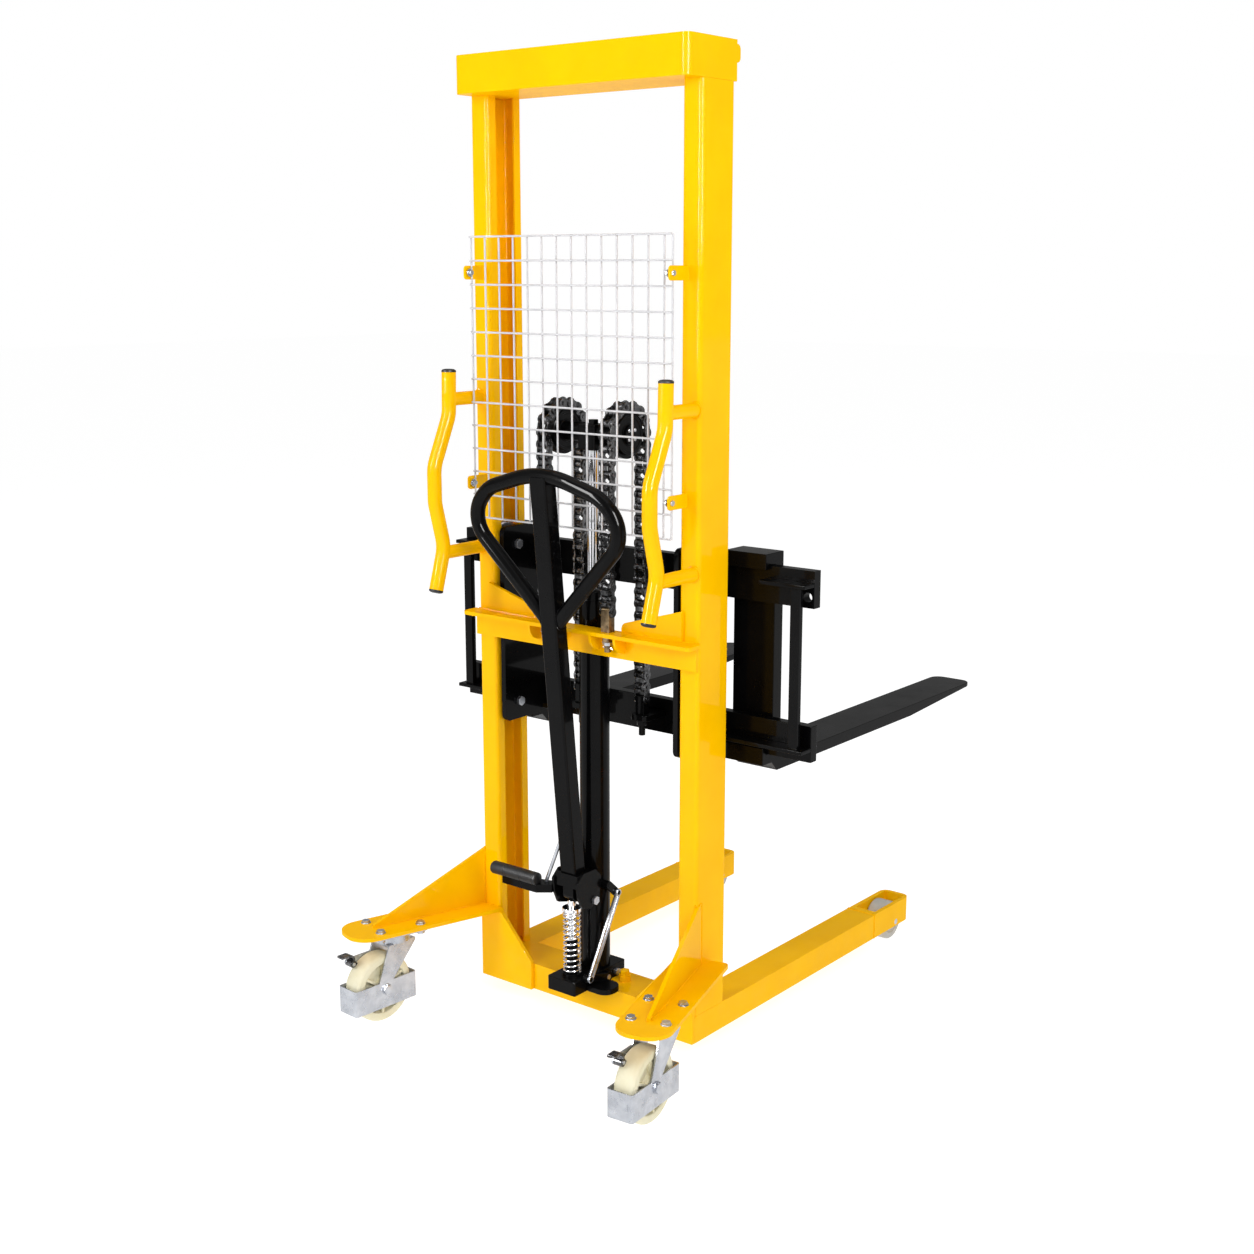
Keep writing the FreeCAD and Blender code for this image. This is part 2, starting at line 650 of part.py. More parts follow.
def leg():
    """Return the right leg: a box section with an open frame for its load roller."""
    tube_outer = box(LEG_INNER, MAST_HALF_WIDTH, 0, LEG_LENGTH, LEG_UNDERSIDE, BASE_TOP)
    tube_hollow = box(LEG_INNER + LEG_WALL, MAST_HALF_WIDTH - LEG_WALL, 0, LEG_LENGTH - LEG_WALL,
                      LEG_UNDERSIDE + LEG_WALL, BASE_TOP - LEG_WALL)
    frame_rear = LEG_LENGTH
    frame = panel_z(rectangle(LEG_INNER, MAST_HALF_WIDTH, frame_rear, NOSE_FRONT),
                    [0, 0, NOSE_CORNER, NOSE_CORNER], LEG_UNDERSIDE, BASE_TOP)
    window = box(LEG_INNER + NOSE_CHEEK, MAST_HALF_WIDTH - NOSE_CHEEK, frame_rear + NOSE_LAP,
                 NOSE_FRONT - NOSE_CHEEK, LEG_UNDERSIDE, BASE_TOP)
    bore = rod_x(LEG_INNER, MAST_HALF_WIDTH, LOAD_AXLE_Y, LOAD_AXLE_Z, LOAD_AXLE_DIAMETER + 2 * SEAT_FIT)
    return join([tube_outer.cut(tube_hollow), frame.cut(window).cut(bore)])


def load_axle():
    """Return the right load roller's axle."""
    return rod_x(LEG_INNER, MAST_HALF_WIDTH, LOAD_AXLE_Y, LOAD_AXLE_Z, LOAD_AXLE_DIAMETER)


def load_roller():
    """Return the right load roller with its rounded tread edges."""
    half = LOAD_ROLLER_WIDTH / 2
    body = rod_x(LEG_CENTRE - half, LEG_CENTRE + half, LOAD_AXLE_Y, LOAD_AXLE_Z, LOAD_ROLLER_DIAMETER)
    body = body.makeChamfer(MAST_ROLLER_EDGE, rim_edges(body))
    bore_diameter = LOAD_AXLE_DIAMETER + 2 * RUNNING_FIT
    bore = rod_x(LEG_CENTRE - half, LEG_CENTRE + half, LOAD_AXLE_Y, LOAD_AXLE_Z, bore_diameter)
    return body.cut(bore)


def crossmember():
    """Return the box section between the two legs, with the bosses beside the pump."""
    wall = CROSSMEMBER_WALL
    outer = box(-LEG_INNER, LEG_INNER, 0, CROSSMEMBER_DEPTH, LEG_UNDERSIDE, BASE_TOP)
    hollow = box(-LEG_INNER, LEG_INNER, wall, CROSSMEMBER_DEPTH - wall, LEG_UNDERSIDE + wall, BASE_TOP - wall)
    shape = outer.cut(hollow)
    for x in (-BASE_BOLT_X, BASE_BOLT_X):
        boss = rod_z(BASE_TOP, BASE_BOSS_TOP, x, BASE_BOLT_Y, BASE_BOSS_DIAMETER)
        bore = rod_z(BASE_TOP - wall, BASE_BOSS_TOP, x, BASE_BOLT_Y, BASE_BOLT_DIAMETER + 2 * SEAT_FIT)
        shape = join([shape, boss]).cut(bore)
    return shape


def gusset():
    """Return the right rear gusset between the crossmember and the channel."""
    corners = [(GUSSET_FOOT, LEG_UNDERSIDE), (MAST_HALF_WIDTH, LEG_UNDERSIDE),
               (MAST_HALF_WIDTH, CASTER_HEIGHT), (MAST_HALF_WIDTH - GUSSET_HEAD, CASTER_HEIGHT),
               (GUSSET_FOOT, BASE_TOP + GUSSET_STEP)]
    return panel_y(corners, [0] * 5, -GUSSET_THICKNESS, 0)


def outrigger_point(along, across, level):
    """Return a point of the right outrigger from its own length and width directions."""
    sine = math.sin(OUTRIGGER_TURN)
    cosine = math.cos(OUTRIGGER_TURN)
    return V(OUTRIGGER_ROOT_X + along * sine + across * cosine, -along * cosine + across * sine, level)


def caster_bolt_points(level):
    """Return the four bolt centres of the right caster at one level."""
    points = []
    for along in (-CASTER_BOLT_LENGTHWAYS / 2, CASTER_BOLT_LENGTHWAYS / 2):
        for across in (-CASTER_BOLT_ACROSS / 2, CASTER_BOLT_ACROSS / 2):
            points.append(outrigger_point(CASTER_REACH + along, across, level))
    return points


def outrigger():
    """Return the right outrigger: a flat plate under an upright rib, drilled for the caster."""
    half = OUTRIGGER_HALF_WIDTH
    ends = rectangle(-OUTRIGGER_FRONT, OUTRIGGER_LENGTH, -half, half)
    corners = [outrigger_point(along, across, CASTER_HEIGHT) for along, across in ends]
    plate = panel(corners, [0, OUTRIGGER_NOSE, OUTRIGGER_NOSE, OUTRIGGER_EAR], V(0, 0, OUTRIGGER_THICKNESS))
    side = -RIB_THICKNESS / 2
    rib_start = -OUTRIGGER_FRONT
    slope = (RIB_HEIGHT - RIB_TOE) / RIB_LENGTH
    rib_top = RIB_HEIGHT + slope * OUTRIGGER_FRONT
    rib_corners = [outrigger_point(rib_start, side, OUTRIGGER_TOP),
                   outrigger_point(RIB_LENGTH, side, OUTRIGGER_TOP),
                   outrigger_point(RIB_LENGTH, side, OUTRIGGER_TOP + RIB_TOE),
                   outrigger_point(rib_start, side, OUTRIGGER_TOP + rib_top)]
    across = outrigger_point(0, RIB_THICKNESS, 0) - outrigger_point(0, 0, 0)
    rib = panel(rib_corners, [0] * 4, across)
    reach = OUTRIGGER_FRONT + OUTRIGGER_LENGTH
    channel_space = box(0, MAST_HALF_WIDTH, 0, reach, 0, MAST_HEIGHT)
    mast = slab_z(0, MAST_HALF_WIDTH, 0, reach, 0, MAST_HEIGHT, CHANNEL_BEND)
    shape = join([plate.cut(channel_space), rib.cut(mast)])
    hole = CASTER_BOLT_DIAMETER + 2 * SEAT_FIT
    for point in caster_bolt_points(CASTER_HEIGHT):
        shape = shape.cut(rod_z(CASTER_HEIGHT, OUTRIGGER_TOP, point.x, point.y, hole))
    return shape


def caster_plate():
    """Return the right caster's fixed top plate with its kingpin."""
    half_length = CASTER_PLATE_LENGTH / 2
    half_width = CASTER_PLATE_WIDTH / 2
    bottom = CASTER_HEIGHT - CASTER_PLATE_THICKNESS
    ends = [(CASTER_REACH - half_length, -half_width), (CASTER_REACH + half_length, -half_width),
            (CASTER_REACH + half_length, half_width), (CASTER_REACH - half_length, half_width)]
    corners = [outrigger_point(along, across, bottom) for along, across in ends]
    plate = panel(corners, [CASTER_PLATE_CORNER] * 4, V(0, 0, CASTER_PLATE_THICKNESS))
    for point in caster_bolt_points(bottom):
        plate = plate.cut(rod_z(bottom, CASTER_HEIGHT, point.x, point.y, CASTER_BOLT_DIAMETER + 2 * SEAT_FIT))
    kingpin = rod_z(CASTER_WEB_BOTTOM - KINGPIN_TAIL, bottom, SWIVEL_X, SWIVEL_Y, KINGPIN_DIAMETER)
    return join([plate, kingpin])


def caster_bolt(point):
    """Return one caster bolt with its nut."""
    head = hexagon(V(point.x, point.y, OUTRIGGER_TOP), V(0, 0, 1), CASTER_BOLT_FLATS, CASTER_BOLT_HEAD)
    bottom = CASTER_HEIGHT - CASTER_PLATE_THICKNESS
    shank = rod_z(bottom, OUTRIGGER_TOP, point.x, point.y, CASTER_BOLT_DIAMETER)
    nut = hexagon(V(point.x, point.y, bottom), V(0, 0, -1), CASTER_BOLT_FLATS, CASTER_NUT)
    return join([head, shank, nut])


def caster_fork():
    """Return a caster's swivelling fork with its toe guard, at the right swivel point."""
    axle_y = SWIVEL_Y - CASTER_TRAIL
    top = CASTER_HEIGHT - CASTER_PLATE_THICKNESS - SWIVEL_GAP
    head = rod_z(CASTER_WEB_TOP, top, SWIVEL_X, SWIVEL_Y, SWIVEL_HEAD_DIAMETER)
    front = SWIVEL_Y + CASTER_WEB_HALF
    rear = SWIVEL_Y - CASTER_WEB_HALF
    left = SWIVEL_X - CASTER_LEG_OUTER
    right = SWIVEL_X + CASTER_LEG_OUTER
    web = box(left, right, rear, front, CASTER_WEB_BOTTOM, CASTER_WEB_TOP)
    waist = CASTER_AXLE_FLATS
    profile = [(rear, CASTER_WEB_TOP), (axle_y - waist, GUARD_TOP), (axle_y - waist, GUARD_BOTTOM),
               (axle_y + waist, GUARD_BOTTOM), (axle_y + waist, GUARD_TOP), (front, CASTER_WEB_BOTTOM),
               (front, CASTER_WEB_TOP)]
    pieces = [head, web]
    for side in (-1, 1):
        inner = SWIVEL_X + side * CASTER_LEG_INNER
        outer = SWIVEL_X + side * CASTER_LEG_OUTER
        pieces.append(panel_x(profile, [0] * 7, min(inner, outer), max(inner, outer)))
    half = GUARD_LENGTH / 2
    ring = slab_z(SWIVEL_X - CASTER_LEG_OUTER, SWIVEL_X + CASTER_LEG_OUTER, axle_y - half, axle_y + half,
                  GUARD_BOTTOM, GUARD_TOP, GUARD_CORNER)
    clear = CASTER_LEG_OUTER - GUARD_SHEET
    space = slab_z(SWIVEL_X - clear, SWIVEL_X + clear, axle_y - half + GUARD_SHEET,
                   axle_y + half - GUARD_SHEET, GUARD_BOTTOM, GUARD_TOP, GUARD_CORNER - GUARD_SHEET)
    pieces.append(ring.cut(space))
    pivot_y = axle_y - BRAKE_PIVOT_BACK
    pivot_z = CASTER_AXLE_Z + BRAKE_PIVOT_UP
    ear = strap_x(SWIVEL_Y, pivot_z, pivot_y, pivot_z, BRAKE_HUB_DIAMETER,
                  SWIVEL_X - CASTER_LEG_OUTER, SWIVEL_X - CASTER_LEG_INNER)
    pin_end = SWIVEL_X - CASTER_LEG_INNER + BRAKE_WIDTH + BRAKE_PIN_TAIL
    pin = rod_x(SWIVEL_X - CASTER_LEG_OUTER, pin_end, pivot_y, pivot_z, BRAKE_PIN_DIAMETER)
    shape = join(pieces + [ear, pin])
    shape = shape.cut(rod_z(CASTER_WEB_BOTTOM, top, SWIVEL_X, SWIVEL_Y, KINGPIN_DIAMETER + 2 * RUNNING_FIT))
    return shape.cut(rod_x(SWIVEL_X - CASTER_LEG_OUTER, SWIVEL_X + CASTER_LEG_OUTER, axle_y, CASTER_AXLE_Z,
                           CASTER_AXLE_DIAMETER + 2 * SEAT_FIT))


def caster_axle():
    """Return a caster's axle bolt with its head and nut."""
    axle_y = SWIVEL_Y - CASTER_TRAIL
    left = SWIVEL_X - CASTER_LEG_OUTER
    right = SWIVEL_X + CASTER_LEG_OUTER
    shank = rod_x(left, right, axle_y, CASTER_AXLE_Z, CASTER_AXLE_DIAMETER)
    head = hexagon(V(right, axle_y, CASTER_AXLE_Z), V(1, 0, 0), CASTER_AXLE_FLATS, CASTER_AXLE_HEAD)
    nut = hexagon(V(left, axle_y, CASTER_AXLE_Z), V(-1, 0, 0), CASTER_AXLE_FLATS, CASTER_AXLE_HEAD)
    return join([shank, head, nut])


def caster_wheel():
    """Return a caster wheel: a cast tread ring, a thin disc, spokes and a hub."""
    axle_y = SWIVEL_Y - CASTER_TRAIL
    half = CASTER_WHEEL_WIDTH / 2
    left = SWIVEL_X - half
    right = SWIVEL_X + half
    tread = rod_x(left, right, axle_y, CASTER_AXLE_Z, CASTER_WHEEL_DIAMETER)
    tread = tread.makeFillet(CASTER_TREAD_EDGE, rim_edges(tread))
    for face, depth in ((left, 1), (right, -1)):
        ends = sorted((face, face + depth * CASTER_DISC_RECESS))
        hollow = rod_x(ends[0], ends[1], axle_y, CASTER_AXLE_Z, CASTER_RIM_DIAMETER)
        hollow = hollow.cut(rod_x(ends[0], ends[1], axle_y, CASTER_AXLE_Z, CASTER_HUB_DIAMETER))
        for step in range(CASTER_SPOKES):
            spoke = box(ends[0], ends[1], axle_y - CASTER_SPOKE_WIDTH / 2, axle_y + CASTER_SPOKE_WIDTH / 2,
                        CASTER_AXLE_Z, CASTER_AXLE_Z + CASTER_RIM_DIAMETER / 2)
            spoke.rotate(V(0, axle_y, CASTER_AXLE_Z), V(1, 0, 0), 360.0 * step / CASTER_SPOKES)
            hollow = hollow.cut(spoke)
        tread = tread.cut(hollow)
    return tread.cut(rod_x(left, right, axle_y, CASTER_AXLE_Z, CASTER_AXLE_DIAMETER + 2 * RUNNING_FIT))


def caster_brake():
    """Return a caster's brake lever: a hub on its pin, a shoe over the tread and a curled pedal."""
    axle_y = SWIVEL_Y - CASTER_TRAIL
    pivot_y = axle_y - BRAKE_PIVOT_BACK
    pivot_z = CASTER_AXLE_Z + BRAKE_PIVOT_UP
    x0 = SWIVEL_X - CASTER_LEG_INNER + SWIVEL_GAP
    x1 = x0 + BRAKE_WIDTH
    hub = rod_x(x0, x1, pivot_y, pivot_z, BRAKE_HUB_DIAMETER)
    rise = pivot_z + BRAKE_HUB_DIAMETER / 2
    sheet = BRAKE_SHEET
    pedal_profile = [(pivot_y + sheet, pivot_z), (pivot_y + sheet, rise + BRAKE_PEDAL_RISE),
                     (pivot_y - BRAKE_PEDAL_REACH, rise + BRAKE_PEDAL_RISE),
                     (pivot_y - BRAKE_PEDAL_REACH, rise + BRAKE_PEDAL_RISE - sheet),
                     (pivot_y, rise + BRAKE_PEDAL_RISE - sheet), (pivot_y, pivot_z)]
    curl = BRAKE_PEDAL_RISE - sheet
    pedal = panel_x(pedal_profile, [0, curl + sheet, 0, 0, curl, 0], x0, x1)
    tread = CASTER_WHEEL_DIAMETER / 2 + BRAKE_SHOE_GAP
    shoe = box(x0, x1, pivot_y, pivot_y + BRAKE_SHOE_LENGTH, pivot_z - BRAKE_HUB_DIAMETER / 2, pivot_z)
    shoe = shoe.cut(rod_x(x0, x1, axle_y, CASTER_AXLE_Z, 2 * tread))
    shape = join([hub, pedal, shoe])
    return shape.cut(rod_x(x0, x1, pivot_y, pivot_z, BRAKE_PIN_DIAMETER + 2 * RUNNING_FIT))


def on_left(shape):
    """Return a caster piece at the left swivel point, unmirrored, with its wheel swung outwards."""
    turned = shape.copy()
    turned.translate(V(-2 * SWIVEL_X, 0, 0))
    turned.rotate(V(-SWIVEL_X, SWIVEL_Y, 0), V(0, 0, 1), -CASTER_TURN)
    return turned


def on_right(shape):
    """Return a caster piece at the right swivel point with its wheel swung outwards."""
    turned = shape.copy()
    turned.rotate(V(SWIVEL_X, SWIVEL_Y, 0), V(0, 0, 1), CASTER_TURN)
    return turned


def crossbeam():
    """Return the chain crossbeam: an upright plate with ears, a flange and ribs by each anchor."""
    flange_bottom = CROSSBEAM_TOP - CROSSBEAM_FLANGE
    bottom = flange_bottom - CROSSBEAM_DROP
    plate = box(-MAST_HALF_WIDTH, MAST_HALF_WIDTH, -CROSSBEAM_PLATE, 0, bottom, flange_bottom)
    reach = MAST_HALF_WIDTH + CROSSBEAM_FLANGE_OVERHANG
    flange = panel_z(rectangle(-reach, reach, -CROSSBEAM_FLANGE_DEPTH, 0),
                     [CROSSBEAM_FLANGE_CORNER, CROSSBEAM_FLANGE_CORNER, 0, 0], flange_bottom, CROSSBEAM_TOP)
    root = CHANNEL_INNER + EAR_LAP
    corners = [(EAR_INNER_X, CROSSBEAM_TOP), (root, CROSSBEAM_TOP), (root, CROSSBEAM_TOP + EAR_HEIGHT),
               (EAR_INNER_X, CROSSBEAM_TOP + EAR_TOE_HEIGHT)]
    ear = panel_y(corners, [0, 0, 0, EAR_CORNER], -CROSSBEAM_PLATE, 0)
    pieces = [plate, flange] + both_sides(ear)
    depth = CROSSBEAM_PLATE + ANCHOR_RIB_DEPTH
    profile = [(-CROSSBEAM_PLATE, flange_bottom), (-CROSSBEAM_PLATE, flange_bottom - ANCHOR_RIB_DEPTH),
               (-depth, flange_bottom - ANCHOR_RIB_DEPTH), (-depth, flange_bottom)]
    for side in (-1, 1):
        inner = CHAIN_X + side * ANCHOR_RIB_OFFSET - ANCHOR_RIB_THICKNESS / 2
        rib = panel_x(profile, [0, 0, ANCHOR_RIB_ROUND, 0], inner, inner + ANCHOR_RIB_THICKNESS)
        pieces += both_sides(rib)
    shape = join(pieces)
    for x in (-CHAIN_X, CHAIN_X):
        shape = shape.cut(rod_z(flange_bottom, CROSSBEAM_TOP, x, CHAIN_REAR_Y, ANCHOR_STUD + 2 * SEAT_FIT))
    return shape


def anchor_bolt(y, seat_top, seat_bottom, pin_z):
    """Return the right chain anchor: a tongue above its seat, a stud through it and a nut below."""
    half = CHAIN_OUTER_HALF - CHAIN_RUN_GAP
    rise = pin_z + ANCHOR_TONGUE_RISE
    depth = ANCHOR_TONGUE_DEPTH / 2
    tongue = panel_x(rectangle(y - depth, y + depth, seat_top, rise), [0, 0, depth / 2, depth / 2],
                     CHAIN_X - half, CHAIN_X + half)
    stud = rod_z(seat_bottom - ANCHOR_TAIL, seat_top, CHAIN_X, y, ANCHOR_STUD)
    nut = hexagon(V(CHAIN_X, y, seat_bottom), V(0, 0, -1), ANCHOR_NUT_FLATS, ANCHOR_NUT)
    return join([tongue, stud, nut])


def push_handle():
    """Return the right push handle: a bent tube on two stubs."""
    x = MAST_HALF_WIDTH - HANDLE_INSET
    points = [V(x, y, z) for y, z in zip(HANDLE_PATH_Y, HANDLE_PATH_Z)]
    radii = [0] + [HANDLE_BEND] * (len(points) - 2) + [0]
    bar = tube(points, radii, HANDLE_TUBE_DIAMETER)
    pieces = [bar]
    for level, reach in ((HANDLE_STUB_UPPER, HANDLE_PATH_Y[1]), (HANDLE_STUB_LOWER, HANDLE_PATH_Y[4])):
        pieces.append(rod_y(reach, 0, x, level, HANDLE_STUB_DIAMETER))
    return join(pieces)


def handle_caps():
    """Return the two end caps of the right push handle."""
    x = MAST_HALF_WIDTH - HANDLE_INSET
    ends = []
    for end, before in ((0, 1), (-1, -2)):
        tip = V(x, HANDLE_PATH_Y[end], HANDLE_PATH_Z[end])
        inner = V(x, HANDLE_PATH_Y[before], HANDLE_PATH_Z[before])
        outward = (tip - inner).normalize()
        ends.append(rod_between(tip, tip + outward * HANDLE_CAP, HANDLE_TUBE_DIAMETER))
    return ends


def mesh_guard():
    """Return the wires of the mesh guard, the level ones lying behind the upright ones."""
    wires = []
    gap = (2 * MESH_HALF_WIDTH - MESH_NARROW_GAP) / MESH_COLUMNS
    columns = [-MESH_HALF_WIDTH + gap * step for step in range(MESH_COLUMNS + 1)] + [MESH_HALF_WIDTH]
    for x in columns:
        wires.append(rod_z(MESH_BOTTOM - MESH_OVERHANG, MESH_TOP + MESH_OVERHANG, x, -MESH_PLANE, MESH_WIRE))
    row = (MESH_TOP - MESH_BOTTOM) / MESH_ROWS
    reach = MESH_HALF_WIDTH + MESH_OVERHANG
    for step in range(MESH_ROWS + 1):
        wires.append(rod_x(-reach, reach, -MESH_PLANE - MESH_WIRE, MESH_BOTTOM + row * step, MESH_WIRE))
    return wires


def lift_cylinder():
    """Return the cylinder tube with its closed foot."""
    top = CYLINDER_TOP - GLAND_HEIGHT
    outer = rod_z(PUMP_TOP, top, 0, RAM_AXIS_Y, CYLINDER_DIAMETER)
    wall = (CYLINDER_DIAMETER - CYLINDER_BORE) / 2
    return outer.cut(rod_z(PUMP_TOP + wall, top, 0, RAM_AXIS_Y, CYLINDER_BORE))


def cylinder_gland():
    """Return the gland ring that closes the cylinder round the ram."""
    bottom = CYLINDER_TOP - GLAND_HEIGHT
    ring = rod_z(bottom, CYLINDER_TOP, 0, RAM_AXIS_Y, GLAND_DIAMETER)
    return ring.cut(rod_z(bottom, CYLINDER_TOP, 0, RAM_AXIS_Y, RAM_DIAMETER + 2 * RUNNING_FIT))


def ram():
    """Return the ram with the piston at its foot."""
    rod = rod_z(RAM_FOOT, WHEEL_AXIS_Z - CROSSHEAD_BELOW, 0, RAM_AXIS_Y, RAM_DIAMETER)
    piston = rod_z(RAM_FOOT, RAM_FOOT + PISTON_HEIGHT, 0, RAM_AXIS_Y, CYLINDER_BORE - 2 * RUNNING_FIT)
    return join([rod, piston])


def crosshead():
    """Return the crosshead with the two wheel pins, their end discs and the bolt on top."""
    half = CROSSHEAD_WIDTH / 2
    depth = CROSSHEAD_DEPTH / 2
    top = WHEEL_AXIS_Z + CROSSHEAD_ABOVE
    block = box(-half, half, RAM_AXIS_Y - depth, RAM_AXIS_Y + depth, WHEEL_AXIS_Z - CROSSHEAD_BELOW, top)
    outer = CHAIN_X + WHEEL_WIDTH / 2 + WHEEL_SIDE_GAP
    end = outer + WHEEL_END_DISC_SHEET
    pin = rod_x(-end, end, RAM_AXIS_Y, WHEEL_AXIS_Z, WHEEL_PIN_DIAMETER)
    disc = rod_x(outer, end, RAM_AXIS_Y, WHEEL_AXIS_Z, WHEEL_END_DISC)
    shoulder_end = CHAIN_X - WHEEL_WIDTH / 2 - WHEEL_SIDE_GAP
    shoulder = rod_x(half, shoulder_end, RAM_AXIS_Y, WHEEL_AXIS_Z, WHEEL_END_DISC)
    bolt = hexagon(V(0, RAM_AXIS_Y, top), V(0, 0, 1), CROSSHEAD_BOLT_FLATS, CROSSHEAD_BOLT_HEAD)
    return join([block, pin, bolt] + both_sides(disc) + both_sides(shoulder))


def chain_wheel():
    """Return the right chain wheel: a smooth rim between the chain plates on a wider hub."""
    half = WHEEL_WIDTH / 2
    rim_half = CHAIN_INNER_HALF - CHAIN_RUN_GAP
    rim = rod_x(CHAIN_X - rim_half, CHAIN_X + rim_half, RAM_AXIS_Y, WHEEL_AXIS_Z,
                2 * CHAIN_PITCH_RADIUS - CHAIN_ROLLER - 2 * CHAIN_RUN_GAP)
    hub = rod_x(CHAIN_X - half, CHAIN_X + half, RAM_AXIS_Y, WHEEL_AXIS_Z, WHEEL_HUB_DIAMETER)
    bore_diameter = WHEEL_PIN_DIAMETER + 2 * RUNNING_FIT
    bore = rod_x(CHAIN_X - half, CHAIN_X + half, RAM_AXIS_Y, WHEEL_AXIS_Z, bore_diameter)
    return join([rim, hub]).cut(bore)


def inner_link(start, end):
    """Return one inner chain link: two plates and the rollers at its ends."""
    pieces = []
    for side in (-1, 1):
        faces = sorted((CHAIN_X + side * CHAIN_INNER_HALF, CHAIN_X + side * (CHAIN_INNER_HALF + CHAIN_PLATE)))
        pieces.append(strap_x(start[0], start[1], end[0], end[1], CHAIN_INNER_HEIGHT, faces[0], faces[1]))
    for y, z in (start, end):
        pieces.append(rod_x(CHAIN_X - CHAIN_INNER_HALF, CHAIN_X + CHAIN_INNER_HALF, y, z, CHAIN_ROLLER))
    return [join(pieces)]


def outer_link(start, end):
    """Return the two plates of one outer chain link with their pin ends."""
    plates = []
    for side in (-1, 1):
        inner = CHAIN_X + side * CHAIN_OUTER_HALF
        outer = inner + side * CHAIN_PLATE
        tip = outer + side * CHAIN_PIN_END
        faces = sorted((inner, outer))
        ends = sorted((outer, tip))
        pieces = [strap_x(start[0], start[1], end[0], end[1], CHAIN_OUTER_HEIGHT, faces[0], faces[1])]
        for y, z in (start, end):
            pieces.append(rod_x(ends[0], ends[1], y, z, CHAIN_PIN))
        plates.append(join(pieces))
    return plates


def chain(joints, starts_inner):
    """Return both chains through a row of joints, with inner and outer links in turn."""
    links = []
    for index in range(len(joints) - 1):
        inner = (index % 2 == 0) == starts_inner
        build = inner_link if inner else outer_link
        for piece in build(joints[index], joints[index + 1]):
            links += both_sides(piece)
    return links


def chain_run(y, count):
    """Return the joints of a straight run, from the wheel downwards."""
    return [(y, WHEEL_AXIS_Z - CHAIN_PITCH * step) for step in range(count + 1)]


def chain_wrap():
    """Return the joints over a chain wheel, from the rear side to the front."""
    joints = []
    for step in range(CHAIN_WRAP_LINKS + 1):
        turn = math.pi - step * CHAIN_WRAP_STEP
        joints.append((RAM_AXIS_Y + CHAIN_PITCH_RADIUS * math.cos(turn),
                       WHEEL_AXIS_Z + CHAIN_PITCH_RADIUS * math.sin(turn)))
    return joints


def carriage_bar(bottom):
    """Return one plain carriage bar."""
    front = BAR_REAR_Y + BAR_THICKNESS
    return box(-BAR_HALF_LENGTH, BAR_HALF_LENGTH, BAR_REAR_Y, front, bottom, bottom + BAR_HEIGHT)


def upper_bar():
    """Return the upper carriage bar, drilled near both ends for a fork stop."""
    shape = carriage_bar(UPPER_BAR_BOTTOM)
    hole_z = (UPPER_BAR_BOTTOM + UPPER_RIB_TOP - BAR_RIB_SHEET) / 2
    front = BAR_REAR_Y + BAR_THICKNESS
    for x in (-BAR_HALF_LENGTH + BAR_HOLE_INSET, BAR_HALF_LENGTH - BAR_HOLE_INSET):
        shape = shape.cut(rod_y(BAR_REAR_Y, front, x, hole_z, BAR_HOLE_DIAMETER))
    return shape


def carriage_strut():
    """Return the right upright with the two ribs that are welded behind the bars' ends."""
    half = STRUT_WIDTH / 2
    front = BAR_REAR_Y - STRUT_INSET
    upright = box(STRUT_CENTRE - half, STRUT_CENTRE + half, front - STRUT_DEPTH, front, LOWER_RIB_TOP,
                  UPPER_RIB_TOP - BAR_RIB_SHEET)
    ribs = []
    rear = BAR_REAR_Y - BAR_RIB_DEPTH
    upper_start = BAR_HALF_LENGTH - UPPER_RIB_LENGTH
    for start, top in ((ROLLER_PLATE_OUTER, LOWER_RIB_TOP), (upper_start, UPPER_RIB_TOP)):
        ribs.append(box(start, BAR_HALF_LENGTH, rear, BAR_REAR_Y, top - BAR_RIB_SHEET, top))
    return join([upright] + ribs)


def roller_plate():
    """Return the right carriage side plate that carries two mast rollers."""
    relief = BAR_REAR_Y - ROLLER_PLATE_RELIEF
    upper_step = UPPER_BAR_BOTTOM + BAR_HEIGHT - FORK_HOOK_DEPTH - FORK_BAR_PLAY
    lower_step = LOWER_BAR_BOTTOM + FORK_LOWER_HOOK_DEPTH + FORK_BAR_PLAY
    corners = [(ROLLER_PLATE_REAR, ROLLER_PLATE_BOTTOM), (relief, ROLLER_PLATE_BOTTOM), (relief, lower_step),
               (BAR_REAR_Y, lower_step), (BAR_REAR_Y, upper_step), (relief, upper_step),
               (relief, ROLLER_PLATE_TOP), (ROLLER_PLATE_REAR, ROLLER_PLATE_TOP)]
    corner = ROLLER_PLATE_CORNER
    shape = panel_x(corners, [corner, 0, 0, 0, 0, 0, corner, corner], ROLLER_PLATE_INNER, ROLLER_PLATE_OUTER)
    for level in (LOWER_ROLLER_Z, UPPER_ROLLER_Z):
        shape = shape.cut(rod_x(ROLLER_SEAT_X, ROLLER_PLATE_OUTER, CHANNEL_MID_Y, level,
                                ROLLER_AXLE_DIAMETER + 2 * SEAT_FIT))
        shape = shape.cut(rod_x(ROLLER_PLATE_INNER, ROLLER_SEAT_X, CHANNEL_MID_Y, level,
                                ROLLER_BOLT_DIAMETER + 2 * SEAT_FIT))
    return shape


